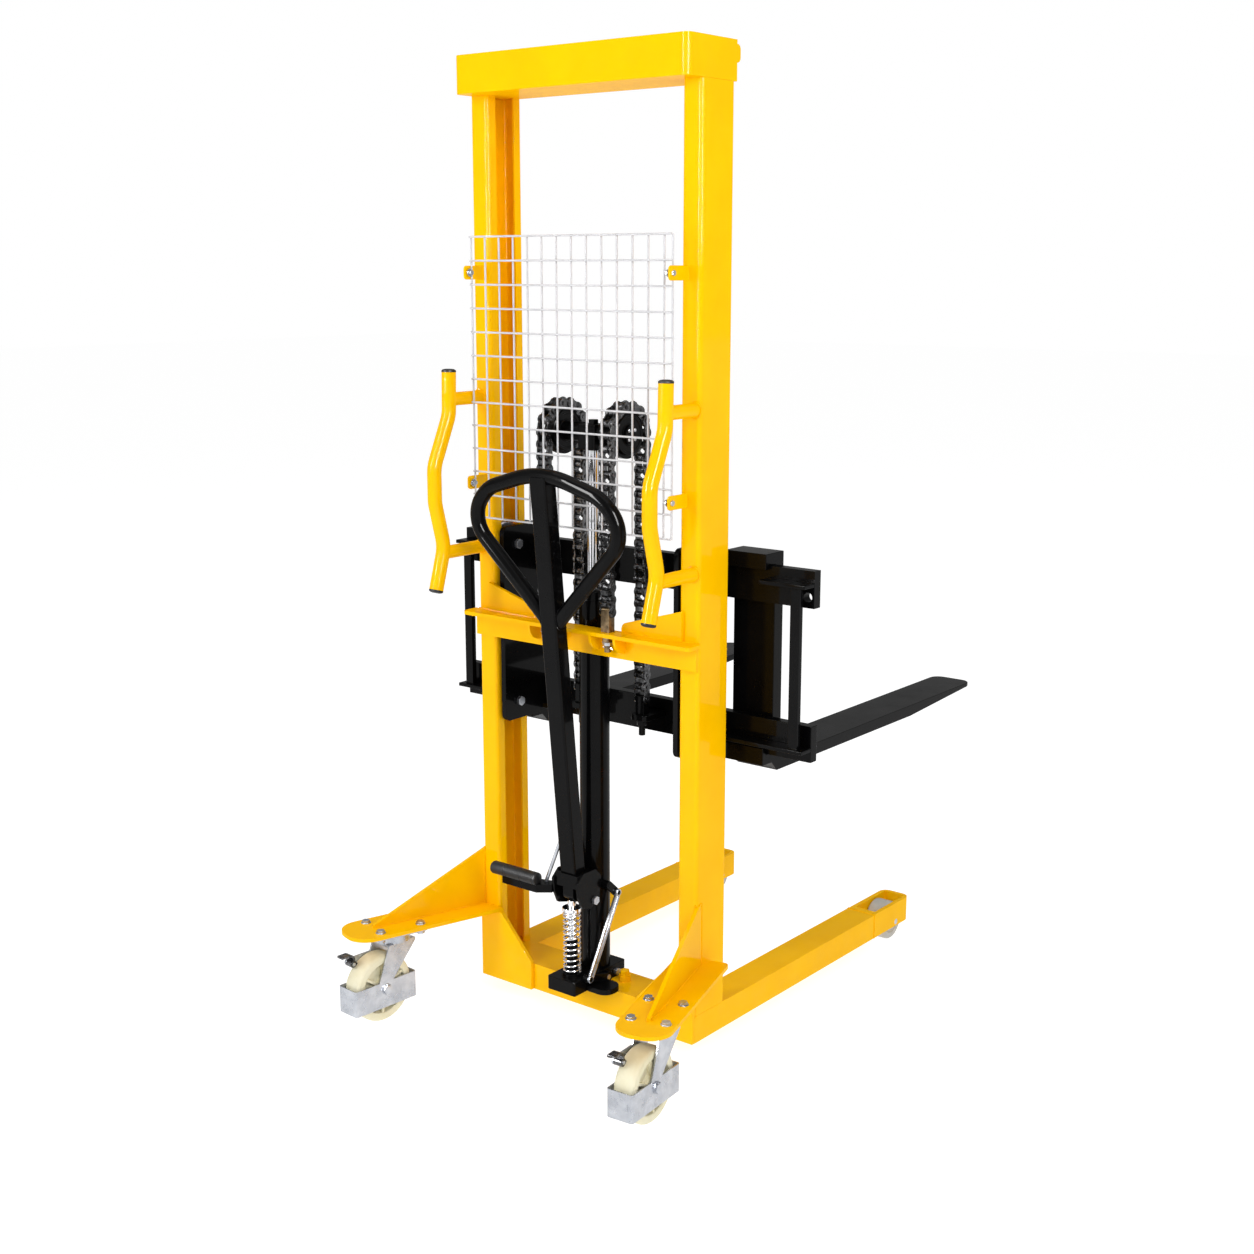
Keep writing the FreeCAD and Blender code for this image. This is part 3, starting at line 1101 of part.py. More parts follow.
def roller_axle(level):
    """Return one right roller axle with its collar, end disc and clamping bolt."""
    half = MAST_ROLLER_WIDTH / 2
    collar_end = MAST_ROLLER_CENTRE - half - ROLLER_COLLAR_GAP
    disc_start = MAST_ROLLER_CENTRE + half + ROLLER_COLLAR_GAP
    disc_end = disc_start + ROLLER_END_DISC
    shaft = rod_x(ROLLER_SEAT_X, disc_end, CHANNEL_MID_Y, level, ROLLER_AXLE_DIAMETER)
    bolt = rod_x(ROLLER_PLATE_INNER, ROLLER_SEAT_X, CHANNEL_MID_Y, level, ROLLER_BOLT_DIAMETER)
    collar = rod_x(ROLLER_PLATE_OUTER, collar_end, CHANNEL_MID_Y, level, ROLLER_COLLAR)
    disc = rod_x(disc_start, disc_end, CHANNEL_MID_Y, level, ROLLER_COLLAR)
    seat = V(ROLLER_PLATE_INNER, CHANNEL_MID_Y, level)
    head = hexagon(seat, V(-1, 0, 0), ROLLER_BOLT_FLATS, ROLLER_BOLT_HEAD)
    return join([shaft, bolt, collar, disc, head])


def mast_roller(level):
    """Return one right mast roller, which runs inside the channel."""
    half = MAST_ROLLER_WIDTH / 2
    left = MAST_ROLLER_CENTRE - half
    right = MAST_ROLLER_CENTRE + half
    body = rod_x(left, right, CHANNEL_MID_Y, level, MAST_ROLLER_DIAMETER)
    body = body.makeChamfer(MAST_ROLLER_EDGE, rim_edges(body))
    return body.cut(rod_x(left, right, CHANNEL_MID_Y, level, ROLLER_AXLE_DIAMETER + 2 * RUNNING_FIT))


def lower_anchor():
    """Return the right lower chain anchor: a lug on the lower bar with its tongue bolt."""
    half = LOWER_LUG_WIDTH / 2
    bottom = LOWER_LUG_TOP - LOWER_LUG_THICKNESS
    rear = CHAIN_FRONT_Y - LOWER_LUG_BACK
    lug = panel_z(rectangle(CHAIN_X - half, CHAIN_X + half, rear, BAR_REAR_Y), [half / 2, half / 2, 0, 0],
                  bottom, LOWER_LUG_TOP)
    return join([lug, anchor_bolt(CHAIN_FRONT_Y, LOWER_LUG_TOP, bottom, LOWER_PIN_Z)])


def fork():
    """Return the right fork: a shank hooked over both bars and a tapered blade."""
    rear = BAR_REAR_Y + BAR_THICKNESS
    front = rear + FORK_SHANK
    lip_front = BAR_REAR_Y - FORK_BAR_PLAY
    lip_rear = lip_front - FORK_HOOK_LIP
    bar_top = UPPER_BAR_BOTTOM + BAR_HEIGHT
    hook_top = bar_top + FORK_HOOK_HEIGHT
    bottom = FORK_TOP_Z - FORK_HEEL_THICKNESS
    lug_bottom = LOWER_BAR_BOTTOM - FORK_LUG
    profile = [(lip_rear, hook_top), (lip_rear, bar_top - FORK_HOOK_DEPTH),
               (lip_front, bar_top - FORK_HOOK_DEPTH),
               (lip_front, bar_top), (rear, bar_top),
               (rear, LOWER_BAR_BOTTOM - FORK_BAR_PLAY), (lip_front, LOWER_BAR_BOTTOM - FORK_BAR_PLAY),
               (lip_front, LOWER_BAR_BOTTOM + FORK_LOWER_HOOK_DEPTH),
               (lip_rear, LOWER_BAR_BOTTOM + FORK_LOWER_HOOK_DEPTH), (lip_rear, lug_bottom),
               (rear, lug_bottom), (rear + FORK_HEEL_CHAMFER, bottom),
               (FORK_TIP_Y - FORK_TAPER, bottom), (FORK_TIP_Y, FORK_TOP_Z - FORK_TIP_THICKNESS),
               (FORK_TIP_Y, FORK_TOP_Z), (front, FORK_TOP_Z), (front, hook_top)]
    radii = [0] * len(profile)
    radii[-2] = FORK_HEEL_RADIUS
    half = FORK_WIDTH / 2
    body = panel_x(profile, radii, FORK_CENTRE - half, FORK_CENTRE + half)
    plan = rectangle(FORK_CENTRE - half, FORK_CENTRE + half, lip_rear, FORK_TIP_Y)
    corners = [0, 0, FORK_TIP_CORNER, FORK_TIP_CORNER]
    return body.common(panel_z(plan, corners, bottom, hook_top))


def pump_block():
    """Return the pump block with the plunger barrel, its flange and the barrel's bore."""
    half = PUMP_BLOCK_HALF_WIDTH
    block = slab_z(-half, half, PUMP_BLOCK_REAR, PUMP_BLOCK_FRONT, BASE_TOP, PUMP_TOP, PUMP_BLOCK_CORNER)
    flange = rod_z(PUMP_TOP, SPRING_BOTTOM, 0, PLUNGER_Y, BARREL_FLANGE_DIAMETER)
    barrel = rod_z(PUMP_TOP, BARREL_TOP, 0, PLUNGER_Y, BARREL_DIAMETER)
    stroke = 2 * CAM_ARM * math.sin(CAM_START)
    bore_diameter = PLUNGER_DIAMETER + 2 * RUNNING_FIT
    bore = rod_z(PLUNGER_FOOT - stroke - CAM_GAP, BARREL_TOP, 0, PLUNGER_Y, bore_diameter)
    return join([block, flange, barrel]).cut(bore)


def pump_plunger():
    """Return the plunger that the cam presses, with the collar over its spring."""
    shaft = rod_z(PLUNGER_FOOT, PLUNGER_TOP, 0, PLUNGER_Y, PLUNGER_DIAMETER)
    collar = rod_z(SPRING_TOP, SPRING_TOP + PLUNGER_COLLAR, 0, PLUNGER_Y, PLUNGER_COLLAR_DIAMETER)
    return join([shaft, collar])


def spring_point(turn):
    """Return a point of the spring's centre line and its direction, after a number of turns."""
    total = SPRING_TURNS + 2
    low = SPRING_BOTTOM + SPRING_WIRE / 2
    high = SPRING_TOP - SPRING_WIRE / 2
    open_pitch = (high - low - 2 * SPRING_CLOSED_PITCH) / SPRING_TURNS
    if turn <= 1:
        level = low + SPRING_CLOSED_PITCH * turn
        pitch = SPRING_CLOSED_PITCH
    elif turn <= total - 1:
        level = low + SPRING_CLOSED_PITCH + open_pitch * (turn - 1)
        pitch = open_pitch
    else:
        level = high - SPRING_CLOSED_PITCH * (total - turn)
        pitch = SPRING_CLOSED_PITCH
    if turn in (1, total - 1):
        pitch = (open_pitch + SPRING_CLOSED_PITCH) / 2
    angle = 2 * math.pi * turn
    point = V(SPRING_MEAN_RADIUS * math.cos(angle), PLUNGER_Y + SPRING_MEAN_RADIUS * math.sin(angle), level)
    direction = V(-math.sin(angle), math.cos(angle), pitch / (2 * math.pi * SPRING_MEAN_RADIUS))
    return point, direction.normalize()


def tangent_arc(start, corner, end):
    """Return the arc that touches both lines of a corner with equal sides."""
    middle = (start + end) / 2
    half = (end - start).Length / 2
    lift = corner - middle
    slope = math.atan2(lift.Length, half)
    crown = middle + lift.normalize() * (half * math.tan(slope / 2))
    return Part.Arc(start, crown, end).toShape()


def biarc(start, leaving, end, arriving):
    """Return two tangent arcs that join two points with given directions."""
    chord = end - start
    total = leaving + arriving
    spread = 2 * (1 - leaving.dot(arriving))
    along = chord.dot(total)
    run = (-along + math.sqrt(along * along + spread * chord.dot(chord))) / spread
    first = start + leaving * run
    second = end - arriving * run
    meeting = (first + second) / 2
    return [tangent_arc(start, first, meeting), tangent_arc(meeting, second, end)]


def pump_spring():
    """Return the plunger's return spring as one wire, and print its least gap to itself."""
    steps = 4 * (SPRING_TURNS + 2)
    edges = []
    for step in range(steps):
        start, leaving = spring_point(step / 4)
        end, arriving = spring_point((step + 1) / 4)
        edges += biarc(start, leaving, end, arriving)
    path = Part.Wire(edges)
    start, leaving = spring_point(0)
    circle = Part.Wire(Part.makeCircle(SPRING_WIRE / 2, start, leaving))
    points = [edge.valueAt(edge.FirstParameter) for edge in edges]
    per_turn = len(edges) // (SPRING_TURNS + 2)
    least = min((points[i] - points[j]).Length for i in range(len(points))
                for j in range(i + per_turn // 2, len(points)))
    print("spring gap to itself %.2f mm" % (least - SPRING_WIRE))
    return path.makePipeShell([circle], True, False)


def pivot_lug():
    """Return the lug on the cylinder that carries the tiller's pivot, and the release arm's stud."""
    half = LUG_WIDTH / 2
    boss = rod_x(-half, half, PUMP_PIVOT_Y, PUMP_PIVOT_Z, 2 * LUG_BOSS_RADIUS)
    bottom = PUMP_PIVOT_Z - LUG_HEIGHT / 2
    web = box(-half, half, PUMP_PIVOT_Y, RAM_AXIS_Y, bottom, bottom + LUG_HEIGHT)
    cylinder = rod_z(PUMP_TOP, CYLINDER_TOP, 0, RAM_AXIS_Y, CYLINDER_DIAMETER)
    bore = rod_x(-half, half, PUMP_PIVOT_Y, PUMP_PIVOT_Z, PIVOT_PIN_DIAMETER + 2 * SEAT_FIT)
    lug = join([boss, web]).cut(cylinder).cut(bore)
    arm_end = RELEASE_ARM_X + RELEASE_ARM_SHEET
    stud = rod_x(0, arm_end + SWIVEL_GAP, RELEASE_PIVOT_Y, RELEASE_PIVOT_Z, RELEASE_STUD_DIAMETER)
    shoulder = rod_x(0, RELEASE_ARM_X - SWIVEL_GAP, RELEASE_PIVOT_Y, RELEASE_PIVOT_Z, RELEASE_ARM_WIDTH)
    return [lug, join([stud, shoulder]).cut(cylinder)]


def pivot_pin():
    """Return the tiller's pivot pin with its head and nut."""
    end = CHEEK_OUTER + SWIVEL_GAP
    shank = rod_x(-end, end, PUMP_PIVOT_Y, PUMP_PIVOT_Z, PIVOT_PIN_DIAMETER)
    head = hexagon(V(end, PUMP_PIVOT_Y, PUMP_PIVOT_Z), V(1, 0, 0), PIVOT_PIN_FLATS, PIVOT_PIN_HEAD)
    return join([shank, head, mirrored(head)])


def tiller_frame(across, along, depth):
    """Return a point of the leaning tiller from its own directions."""
    lean = math.radians(TILLER_LEAN)
    y = TILLER_FOOT_Y - along * math.sin(lean) + depth * math.cos(lean)
    z = LEVER_BLOCK_TOP + along * math.cos(lean) + depth * math.sin(lean)
    return V(across, y, z)


def tiller_prism(width, depth, start, end, radius):
    """Return a rectangular prism along the tiller."""
    half = width / 2
    side = depth / 2
    corners = [tiller_frame(-half, start, -side), tiller_frame(half, start, -side),
               tiller_frame(half, start, side), tiller_frame(-half, start, side)]
    return panel(corners, [radius] * 4, tiller_frame(0, end, 0) - tiller_frame(0, start, 0))


def lever_block(half_width):
    """Return the block under the tiller bar."""
    return box(-half_width, half_width, LEVER_BLOCK_REAR, LEVER_BLOCK_FRONT, LEVER_BLOCK_BOTTOM,
               LEVER_BLOCK_TOP)


def pump_lever():
    """Return the lever at the tiller's foot: two cheeks, a block with a tang, and the cam."""
    profile = list(zip(CHEEK_Y, CHEEK_Z))
    cheek = panel_x(profile, [CHEEK_CORNER] * len(profile), CHEEK_INNER, CHEEK_OUTER)
    bore = rod_x(-CHEEK_OUTER, CHEEK_OUTER, PUMP_PIVOT_Y, PUMP_PIVOT_Z, PIVOT_PIN_DIAMETER + 2 * RUNNING_FIT)
    block = lever_block(CHEEK_INNER)
    half = CAM_WIDTH / 2
    cam = rod_x(-half, half, CAM_Y, CAM_Z, 2 * CAM_RADIUS)
    neck = box(-half, half, CAM_Y - CAM_RADIUS, CAM_Y + CAM_RADIUS, CAM_Z, LEVER_BLOCK_TOP)
    inside = 2 * (TILLER_WALL + SEAT_FIT)
    tang = tiller_prism(TILLER_WIDTH - inside, TILLER_DEPTH - inside, -TILLER_TANG / 2, TILLER_TANG,
                        TILLER_CORNER - TILLER_WALL)
    return join([block, cam, neck, tang] + both_sides(cheek)).cut(bore)


def loop_points():
    """Return the corners of the tiller loop's centre line."""
    half = [(LOOP_FOOT_X, LOOP_FOOT), (LOOP_SIDE_X, LOOP_SIDE), (LOOP_SHOULDER_X, LOOP_SHOULDER)]
    left = [(-x, s) for x, s in half]
    return [tiller_frame(x, s, 0) for x, s in half + [(0, LOOP_PEAK)] + left[::-1]]


def loop_ring():
    """Return the bent tube of the loop handle before it is cut to the bar."""
    side = [0, LOOP_SIDE_BEND, LOOP_SHOULDER_BEND]
    points = loop_points()
    inward = tiller_frame(0, LOOP_FOOT - LOOP_FOOT_X, 0)
    return tube([inward + (points[0] - inward) / 4] + points[1:-1] + [inward + (points[-1] - inward) / 4],
                side + [LOOP_CROWN_BEND] + side[::-1], LOOP_TUBE_DIAMETER)


def tiller_loop():
    """Return the loop handle, cut to the sides of the bar."""
    bar = tiller_prism(TILLER_WIDTH, TILLER_DEPTH, 0, LOOP_CROWN - LOOP_TUBE_DIAMETER, TILLER_CORNER)
    return max(loop_ring().cut(bar).Solids, key=lambda solid: solid.Volume)


def tiller_bar():
    """Return the hollow tiller bar, coped under the top of the loop."""
    outer = tiller_prism(TILLER_WIDTH, TILLER_DEPTH, 0, LOOP_CROWN, TILLER_CORNER)
    hollow = tiller_prism(TILLER_WIDTH - 2 * TILLER_WALL, TILLER_DEPTH - 2 * TILLER_WALL, 0, LOOP_CROWN,
                          TILLER_CORNER - TILLER_WALL)
    shape = outer.cut(hollow).cut(tiller_loop()).cut(lever_block(TILLER_WIDTH))
    return max(shape.Solids, key=lambda solid: solid.Volume)


def pedal_arm():
    """Return the foot pedal's arm with the brace that ties it to the tiller bar."""
    roll = rod_x(PEDAL_OUTER_X, PEDAL_INNER_X, PEDAL_Y, PEDAL_Z, PEDAL_DIAMETER)
    top = PEDAL_Z - PEDAL_DIAMETER / 2 + PEDAL_ARM_SADDLE
    bottom = top - PEDAL_ARM_THICKNESS
    tip = PEDAL_OUTER_X + PEDAL_DIAMETER
    near = PEDAL_Y + PEDAL_DIAMETER / 2
    far = PEDAL_Y - PEDAL_DIAMETER / 4
    plan = [(-CHEEK_OUTER, near), (-CHEEK_OUTER, TILLER_FOOT_Y),
            (PEDAL_INNER_X, BRACE_FOOT_Y + BRACE_DIAMETER), (tip, near), (tip, far), (PEDAL_INNER_X, far)]
    corner = PEDAL_ARM_CORNER
    arm = panel_z(plan, [0, 0, corner, corner / 2, corner / 2, corner], bottom, top).cut(roll)
    bar = tiller_prism(TILLER_WIDTH, TILLER_DEPTH, 0, LOOP_CROWN, TILLER_CORNER)
    along = (BRACE_HEAD_Z - LEVER_BLOCK_TOP) / math.cos(math.radians(TILLER_LEAN))
    head = tiller_frame(-TILLER_WIDTH / 2 + TILLER_CORNER, along, 0)
    brace = rod_between(V(BRACE_FOOT_X, BRACE_FOOT_Y, top - PEDAL_ARM_SADDLE), head, BRACE_DIAMETER)
    brace = max(brace.cut(arm).cut(bar).Solids, key=lambda solid: solid.Volume)
    return [arm, brace]


def pedal_roll():
    """Return the ribbed roll of the foot pedal as a plain sleeve."""
    return rod_x(PEDAL_OUTER_X, PEDAL_INNER_X, PEDAL_Y, PEDAL_Z, PEDAL_DIAMETER)


def release_arm():
    """Return the upper release arm, with the pin for the link."""
    x0 = RELEASE_ARM_X
    x1 = x0 + RELEASE_ARM_SHEET
    arm = strap_x(RELEASE_PIVOT_Y, RELEASE_PIVOT_Z, RELEASE_PIN_Y, RELEASE_PIN_Z, RELEASE_ARM_WIDTH, x0, x1)
    pin = rod_x(x0, PIN_END_X, RELEASE_PIN_Y, RELEASE_PIN_Z, RELEASE_PIN_DIAMETER)
    bore = rod_x(x0, x1, RELEASE_PIVOT_Y, RELEASE_PIVOT_Z, RELEASE_STUD_DIAMETER + 2 * RUNNING_FIT)
    return join([arm, pin]).cut(bore)


def release_link():
    """Return the flat link with an eye at each end, its lower eye bored loose."""
    x1 = LINK_X + LINK_SHEET
    shape = strap_x(RELEASE_PIN_Y, RELEASE_PIN_Z, VALVE_PIN_Y, VALVE_PIN_Z, LINK_WIDTH, LINK_X, x1)
    shape = shape.cut(rod_x(LINK_X, x1, RELEASE_PIN_Y, RELEASE_PIN_Z, RELEASE_PIN_DIAMETER + 2 * RUNNING_FIT))
    return shape.cut(rod_x(LINK_X, x1, VALVE_PIN_Y, VALVE_PIN_Z, RELEASE_PIN_DIAMETER + 2 * LINK_FOOT_PLAY))


def valve_lever():
    """Return the release valve's lever: a hub, an arm to the link and a foot tread."""
    x0 = PUMP_BLOCK_HALF_WIDTH + VALVE_SIDE_GAP
    x1 = x0 + VALVE_LEVER_SHEET
    hub = rod_x(x0, x1, VALVE_Y, VALVE_Z, VALVE_HUB_DIAMETER)
    arm = strap_x(VALVE_Y, VALVE_Z, VALVE_PIN_Y, VALVE_PIN_Z, VALVE_ARM_WIDTH, x0, x1)
    pin = rod_x(x0, PIN_END_X, VALVE_PIN_Y, VALVE_PIN_Z, RELEASE_PIN_DIAMETER)
    bottom = VALVE_Z - VALVE_HUB_DIAMETER / 2
    corner = VALVE_TREAD_CORNER
    plan = rectangle(x0, VALVE_TREAD_OUTER_X, VALVE_TREAD_REAR, VALVE_TREAD_FRONT)
    tread = panel_z(plan, [0, corner, corner, 0], bottom, bottom + VALVE_TREAD_SHEET)
    web = box(x0, x1, VALVE_TREAD_REAR + corner, VALVE_TREAD_FRONT, bottom, VALVE_Z)
    bore = rod_x(x0, x1, VALVE_Y, VALVE_Z, VALVE_SPINDLE_DIAMETER + 2 * RUNNING_FIT)
    return join([hub, arm, pin, tread, web]).cut(bore)


def pump_fittings():
    """Return the valve spindle, the drain plug and the two bolts beside the pump."""
    face = PUMP_BLOCK_HALF_WIDTH
    spindle_end = face + 2 * VALVE_SIDE_GAP + VALVE_LEVER_SHEET
    spindle = rod_x(face, spindle_end, VALVE_Y, VALVE_Z, VALVE_SPINDLE_DIAMETER)
    plug = hexagon(V(face, PLUG_Y, VALVE_Z), V(1, 0, 0), PLUG_FLATS, PLUG_LENGTH)
    head = hexagon(V(BASE_BOLT_X, BASE_BOLT_Y, BASE_BOSS_TOP), V(0, 0, 1), BASE_BOLT_FLATS, BASE_BOLT_HEAD)
    shank = rod_z(BASE_TOP - CROSSMEMBER_WALL, BASE_BOSS_TOP, BASE_BOLT_X, BASE_BOLT_Y, BASE_BOLT_DIAMETER)
    return [spindle, plug] + both_sides(join([head, shank]))


def build():
    """Return every node's name with its shape or list of solids."""
    bolts = [caster_bolt(point) for point in caster_bolt_points(CASTER_HEIGHT)]
    screws = [guard_screw(level) for level in (TAB_LOWER, TAB_UPPER)]
    axles = [roller_axle(level) for level in (LOWER_ROLLER_Z, UPPER_ROLLER_Z)]
    flange_bottom = CROSSBEAM_TOP - CROSSBEAM_FLANGE
    anchor = anchor_bolt(CHAIN_REAR_Y, CROSSBEAM_TOP, flange_bottom, ANCHOR_PIN_Z)
    upper_roller = mast_roller(UPPER_ROLLER_Z)
    lower_roller = mast_roller(LOWER_ROLLER_Z)
    channel = mast_channel()
    right_leg = leg()
    right_roller = load_roller()
    right_fork = fork()
    wheel = chain_wheel()
    caps = handle_caps()
    nodes = {
        "mast_channel_right": channel,
        "mast_channel_left": mirrored(channel),
        "top_beam": top_beam(),
        "base_crossmember": crossmember(),
        "leg_right": right_leg,
        "leg_left": mirrored(right_leg),
        "base_gussets": both_sides(gusset()),
        "outriggers": both_sides(outrigger()),
        "load_axles": both_sides(load_axle()),
        "load_roller_right": right_roller,
        "load_roller_left": mirrored(right_roller),
        "chain_crossbeam": crossbeam(),
        "chain_anchor_bolts": both_sides(anchor),
        "push_handles": both_sides(push_handle()),
        "push_handle_caps": caps + [mirrored(cap) for cap in caps],
        "mesh_guard": mesh_guard(),
        "mesh_screws": screws + [mirrored(screw) for screw in screws],
        "lift_cylinder": lift_cylinder(),
        "cylinder_gland": cylinder_gland(),
        "pump_block": pump_block(),
        "pump_fittings": pump_fittings(),
        "pump_spring": pump_spring(),
        "pivot_lug": pivot_lug(),
        "pivot_pin": pivot_pin(),
        "caster_plates": both_sides(caster_plate()),
        "caster_bolts": bolts + [mirrored(bolt) for bolt in bolts],
        "chain_rear_runs": chain(chain_run(CHAIN_REAR_Y, CHAIN_REAR_LINKS), True),
        "lift_ram": ram(),
        "crosshead": crosshead(),
        "chain_wheel_right": wheel,
        "chain_wheel_left": mirrored(wheel),
        "chain_wraps": chain(chain_wrap(), False),
        "chain_front_runs": chain(chain_run(CHAIN_FRONT_Y, CHAIN_FRONT_LINKS), True),
        "carriage_bar_upper": upper_bar(),
        "carriage_bar_lower": carriage_bar(LOWER_BAR_BOTTOM),
        "carriage_struts": both_sides(carriage_strut()),
        "roller_plates": both_sides(roller_plate()),
        "roller_axles": axles + [mirrored(axle) for axle in axles],
        "chain_lower_anchors": both_sides(lower_anchor()),
        "mast_roller_upper_right": upper_roller,
        "mast_roller_upper_left": mirrored(upper_roller),
        "mast_roller_lower_right": lower_roller,
        "mast_roller_lower_left": mirrored(lower_roller),
        "fork_right": right_fork,
        "fork_left": mirrored(right_fork),
        "pump_lever": pump_lever(),
        "tiller_bar": tiller_bar(),
        "tiller_loop": tiller_loop(),
        "pedal_arm": pedal_arm(),
        "pedal_roll": pedal_roll(),
        "pump_plunger": pump_plunger(),
        "release_arm": release_arm(),
        "release_link": release_link(),
        "valve_lever": valve_lever(),
    }
    for side, place in (("right", on_right), ("left", on_left)):
        nodes["caster_fork_" + side] = [place(caster_fork()), place(caster_axle())]
        nodes["caster_wheel_" + side] = place(caster_wheel())
        nodes["caster_brake_" + side] = place(caster_brake())
    return nodes


def centred(nodes):
    """Return every node as one shape, moved so that the origin lies under the middle of them all."""
    shapes = {}
    for name, shape in nodes.items():
        shapes[name] = Part.makeCompound(shape) if isinstance(shape, list) else shape.copy()
    bounds = Part.makeCompound(list(shapes.values())).optimalBoundingBox()
    for shape in shapes.values():
        shape.translate(V(-bounds.Center.x, -bounds.Center.y, -bounds.ZMin))
    return shapes


def main():
    """Write one file for each node."""
    os.makedirs("parts", exist_ok=True)
    for name, shape in centred(build()).items():
        if not shape.isValid():
            print("not valid:", name)
        shape.exportStep("parts/" + name + ".step")


main()
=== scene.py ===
"""Hand pallet stacker: the visual model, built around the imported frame.

Sizes in the classes are millimetres in the mast's own frame: x = 0 on the centre plane, y = 0 on the
rear faces of the mast channels and z = 0 on the floor. Meshes are in metres in the row frame.
"""
import json
import logging
import math
from dataclasses import dataclass
from enum import Enum
from typing import Callable, Dict, Iterable, List, Optional, Sequence, Tuple

import bmesh
import bpy
from mathutils import Matrix, Vector


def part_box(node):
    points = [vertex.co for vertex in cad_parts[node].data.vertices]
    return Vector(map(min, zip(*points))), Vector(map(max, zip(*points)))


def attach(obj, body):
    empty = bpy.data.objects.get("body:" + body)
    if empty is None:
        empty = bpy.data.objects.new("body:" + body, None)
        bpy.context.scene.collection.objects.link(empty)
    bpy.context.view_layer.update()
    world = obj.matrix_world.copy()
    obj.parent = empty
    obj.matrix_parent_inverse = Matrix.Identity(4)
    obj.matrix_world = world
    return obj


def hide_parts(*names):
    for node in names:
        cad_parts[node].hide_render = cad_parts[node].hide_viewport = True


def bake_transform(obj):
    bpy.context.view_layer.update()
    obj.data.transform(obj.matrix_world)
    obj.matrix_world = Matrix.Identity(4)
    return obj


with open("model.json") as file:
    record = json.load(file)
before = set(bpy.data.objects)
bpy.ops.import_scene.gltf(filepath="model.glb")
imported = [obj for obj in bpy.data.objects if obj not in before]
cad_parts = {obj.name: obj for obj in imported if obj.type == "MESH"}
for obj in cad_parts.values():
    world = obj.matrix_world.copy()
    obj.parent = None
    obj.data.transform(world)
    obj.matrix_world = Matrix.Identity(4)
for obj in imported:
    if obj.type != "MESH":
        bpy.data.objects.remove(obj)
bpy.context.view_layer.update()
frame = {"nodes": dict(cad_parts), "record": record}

logging.basicConfig(level=logging.INFO, format="%(message)s")
log = logging.getLogger("stacker")

MM: float = 0.001
DATUM_Y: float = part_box("chain_crossbeam")[1][1] / MM
SIGNS: Tuple[float, float] = (-1.0, 1.0)
SIDES: Tuple[Tuple[str, float], ...] = (("right", 1.0), ("left", -1.0))
ALONG_X: Vector = Vector((1.0, 0.0, 0.0))
SWIVEL_X: float = 364.66
SWIVEL_Y: float = -218.04
SMOOTH_ANGLE: float = 32.0
SHARP_ANGLE: float = 36.0
FLAT_ANGLE: float = 0.6
SAME_POINT: float = 2e-6
TURN_MERGE: float = 1e-7
COIL_MERGE: float = 1e-6
OFF_AXIS: float = 0.0001
BEAD_STEP: float = 1.05
BEAD_SQUASH: float = 0.8
CROWN_FROM: float = 0.9
CROWN_CHAMFER: float = 0.16
WASHER_BORE: float = 0.3
WASHER_RIM: float = 0.62
WASHER_STEPS: Tuple[Tuple[float, float], ...] = ((0.0, 0.0), (-0.4, 0.5), (-0.4, 1.0), (0.0, 1.5))
WHITE_LIGHT: Tuple[float, float, float, float] = (1.0, 1.0, 1.0, 1.0)

Pair = Tuple[float, float]
Triple = Tuple[float, float, float]
Colour = Tuple[float, float, float]
BMesh = bmesh.types.BMesh
Socket = bpy.types.NodeSocket


class Body(Enum):
    """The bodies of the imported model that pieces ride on."""

    FRAME = "frame"
    LIFT = "lift"
    CARRIAGE = "carriage"
    TILLER = "tiller"
    PLUNGER = "plunger"
    RELEASE_LINK = "release_link"


class Slot(Enum):
    """The record's material slots."""

    YELLOW = "yellow_paint"
    BLACK = "black_paint"
    CHROME = "chrome"
    ZINC = "zinc_plate"
    CHAIN = "chain_steel"
    YELLOW_ZINC = "yellow_zinc"
    WHITE = "white_coat"
    NYLON = "cream_nylon"
    GREY_NYLON = "grey_nylon"
    PLASTIC = "black_plastic"


def at(x: float, y: float, z: float) -> Vector:
    """Return a point of the mast's frame, in millimetres, as a row-frame point in metres."""
    return Vector((x, y + DATUM_Y, z)) * MM


def body_of_node(node: str) -> str:
    """Return the name of the body that a CAD node rides on."""
    bodies = frame["record"]["behaviour"]["bodies"]
    return next(name for name, members in bodies.items() if node in members)


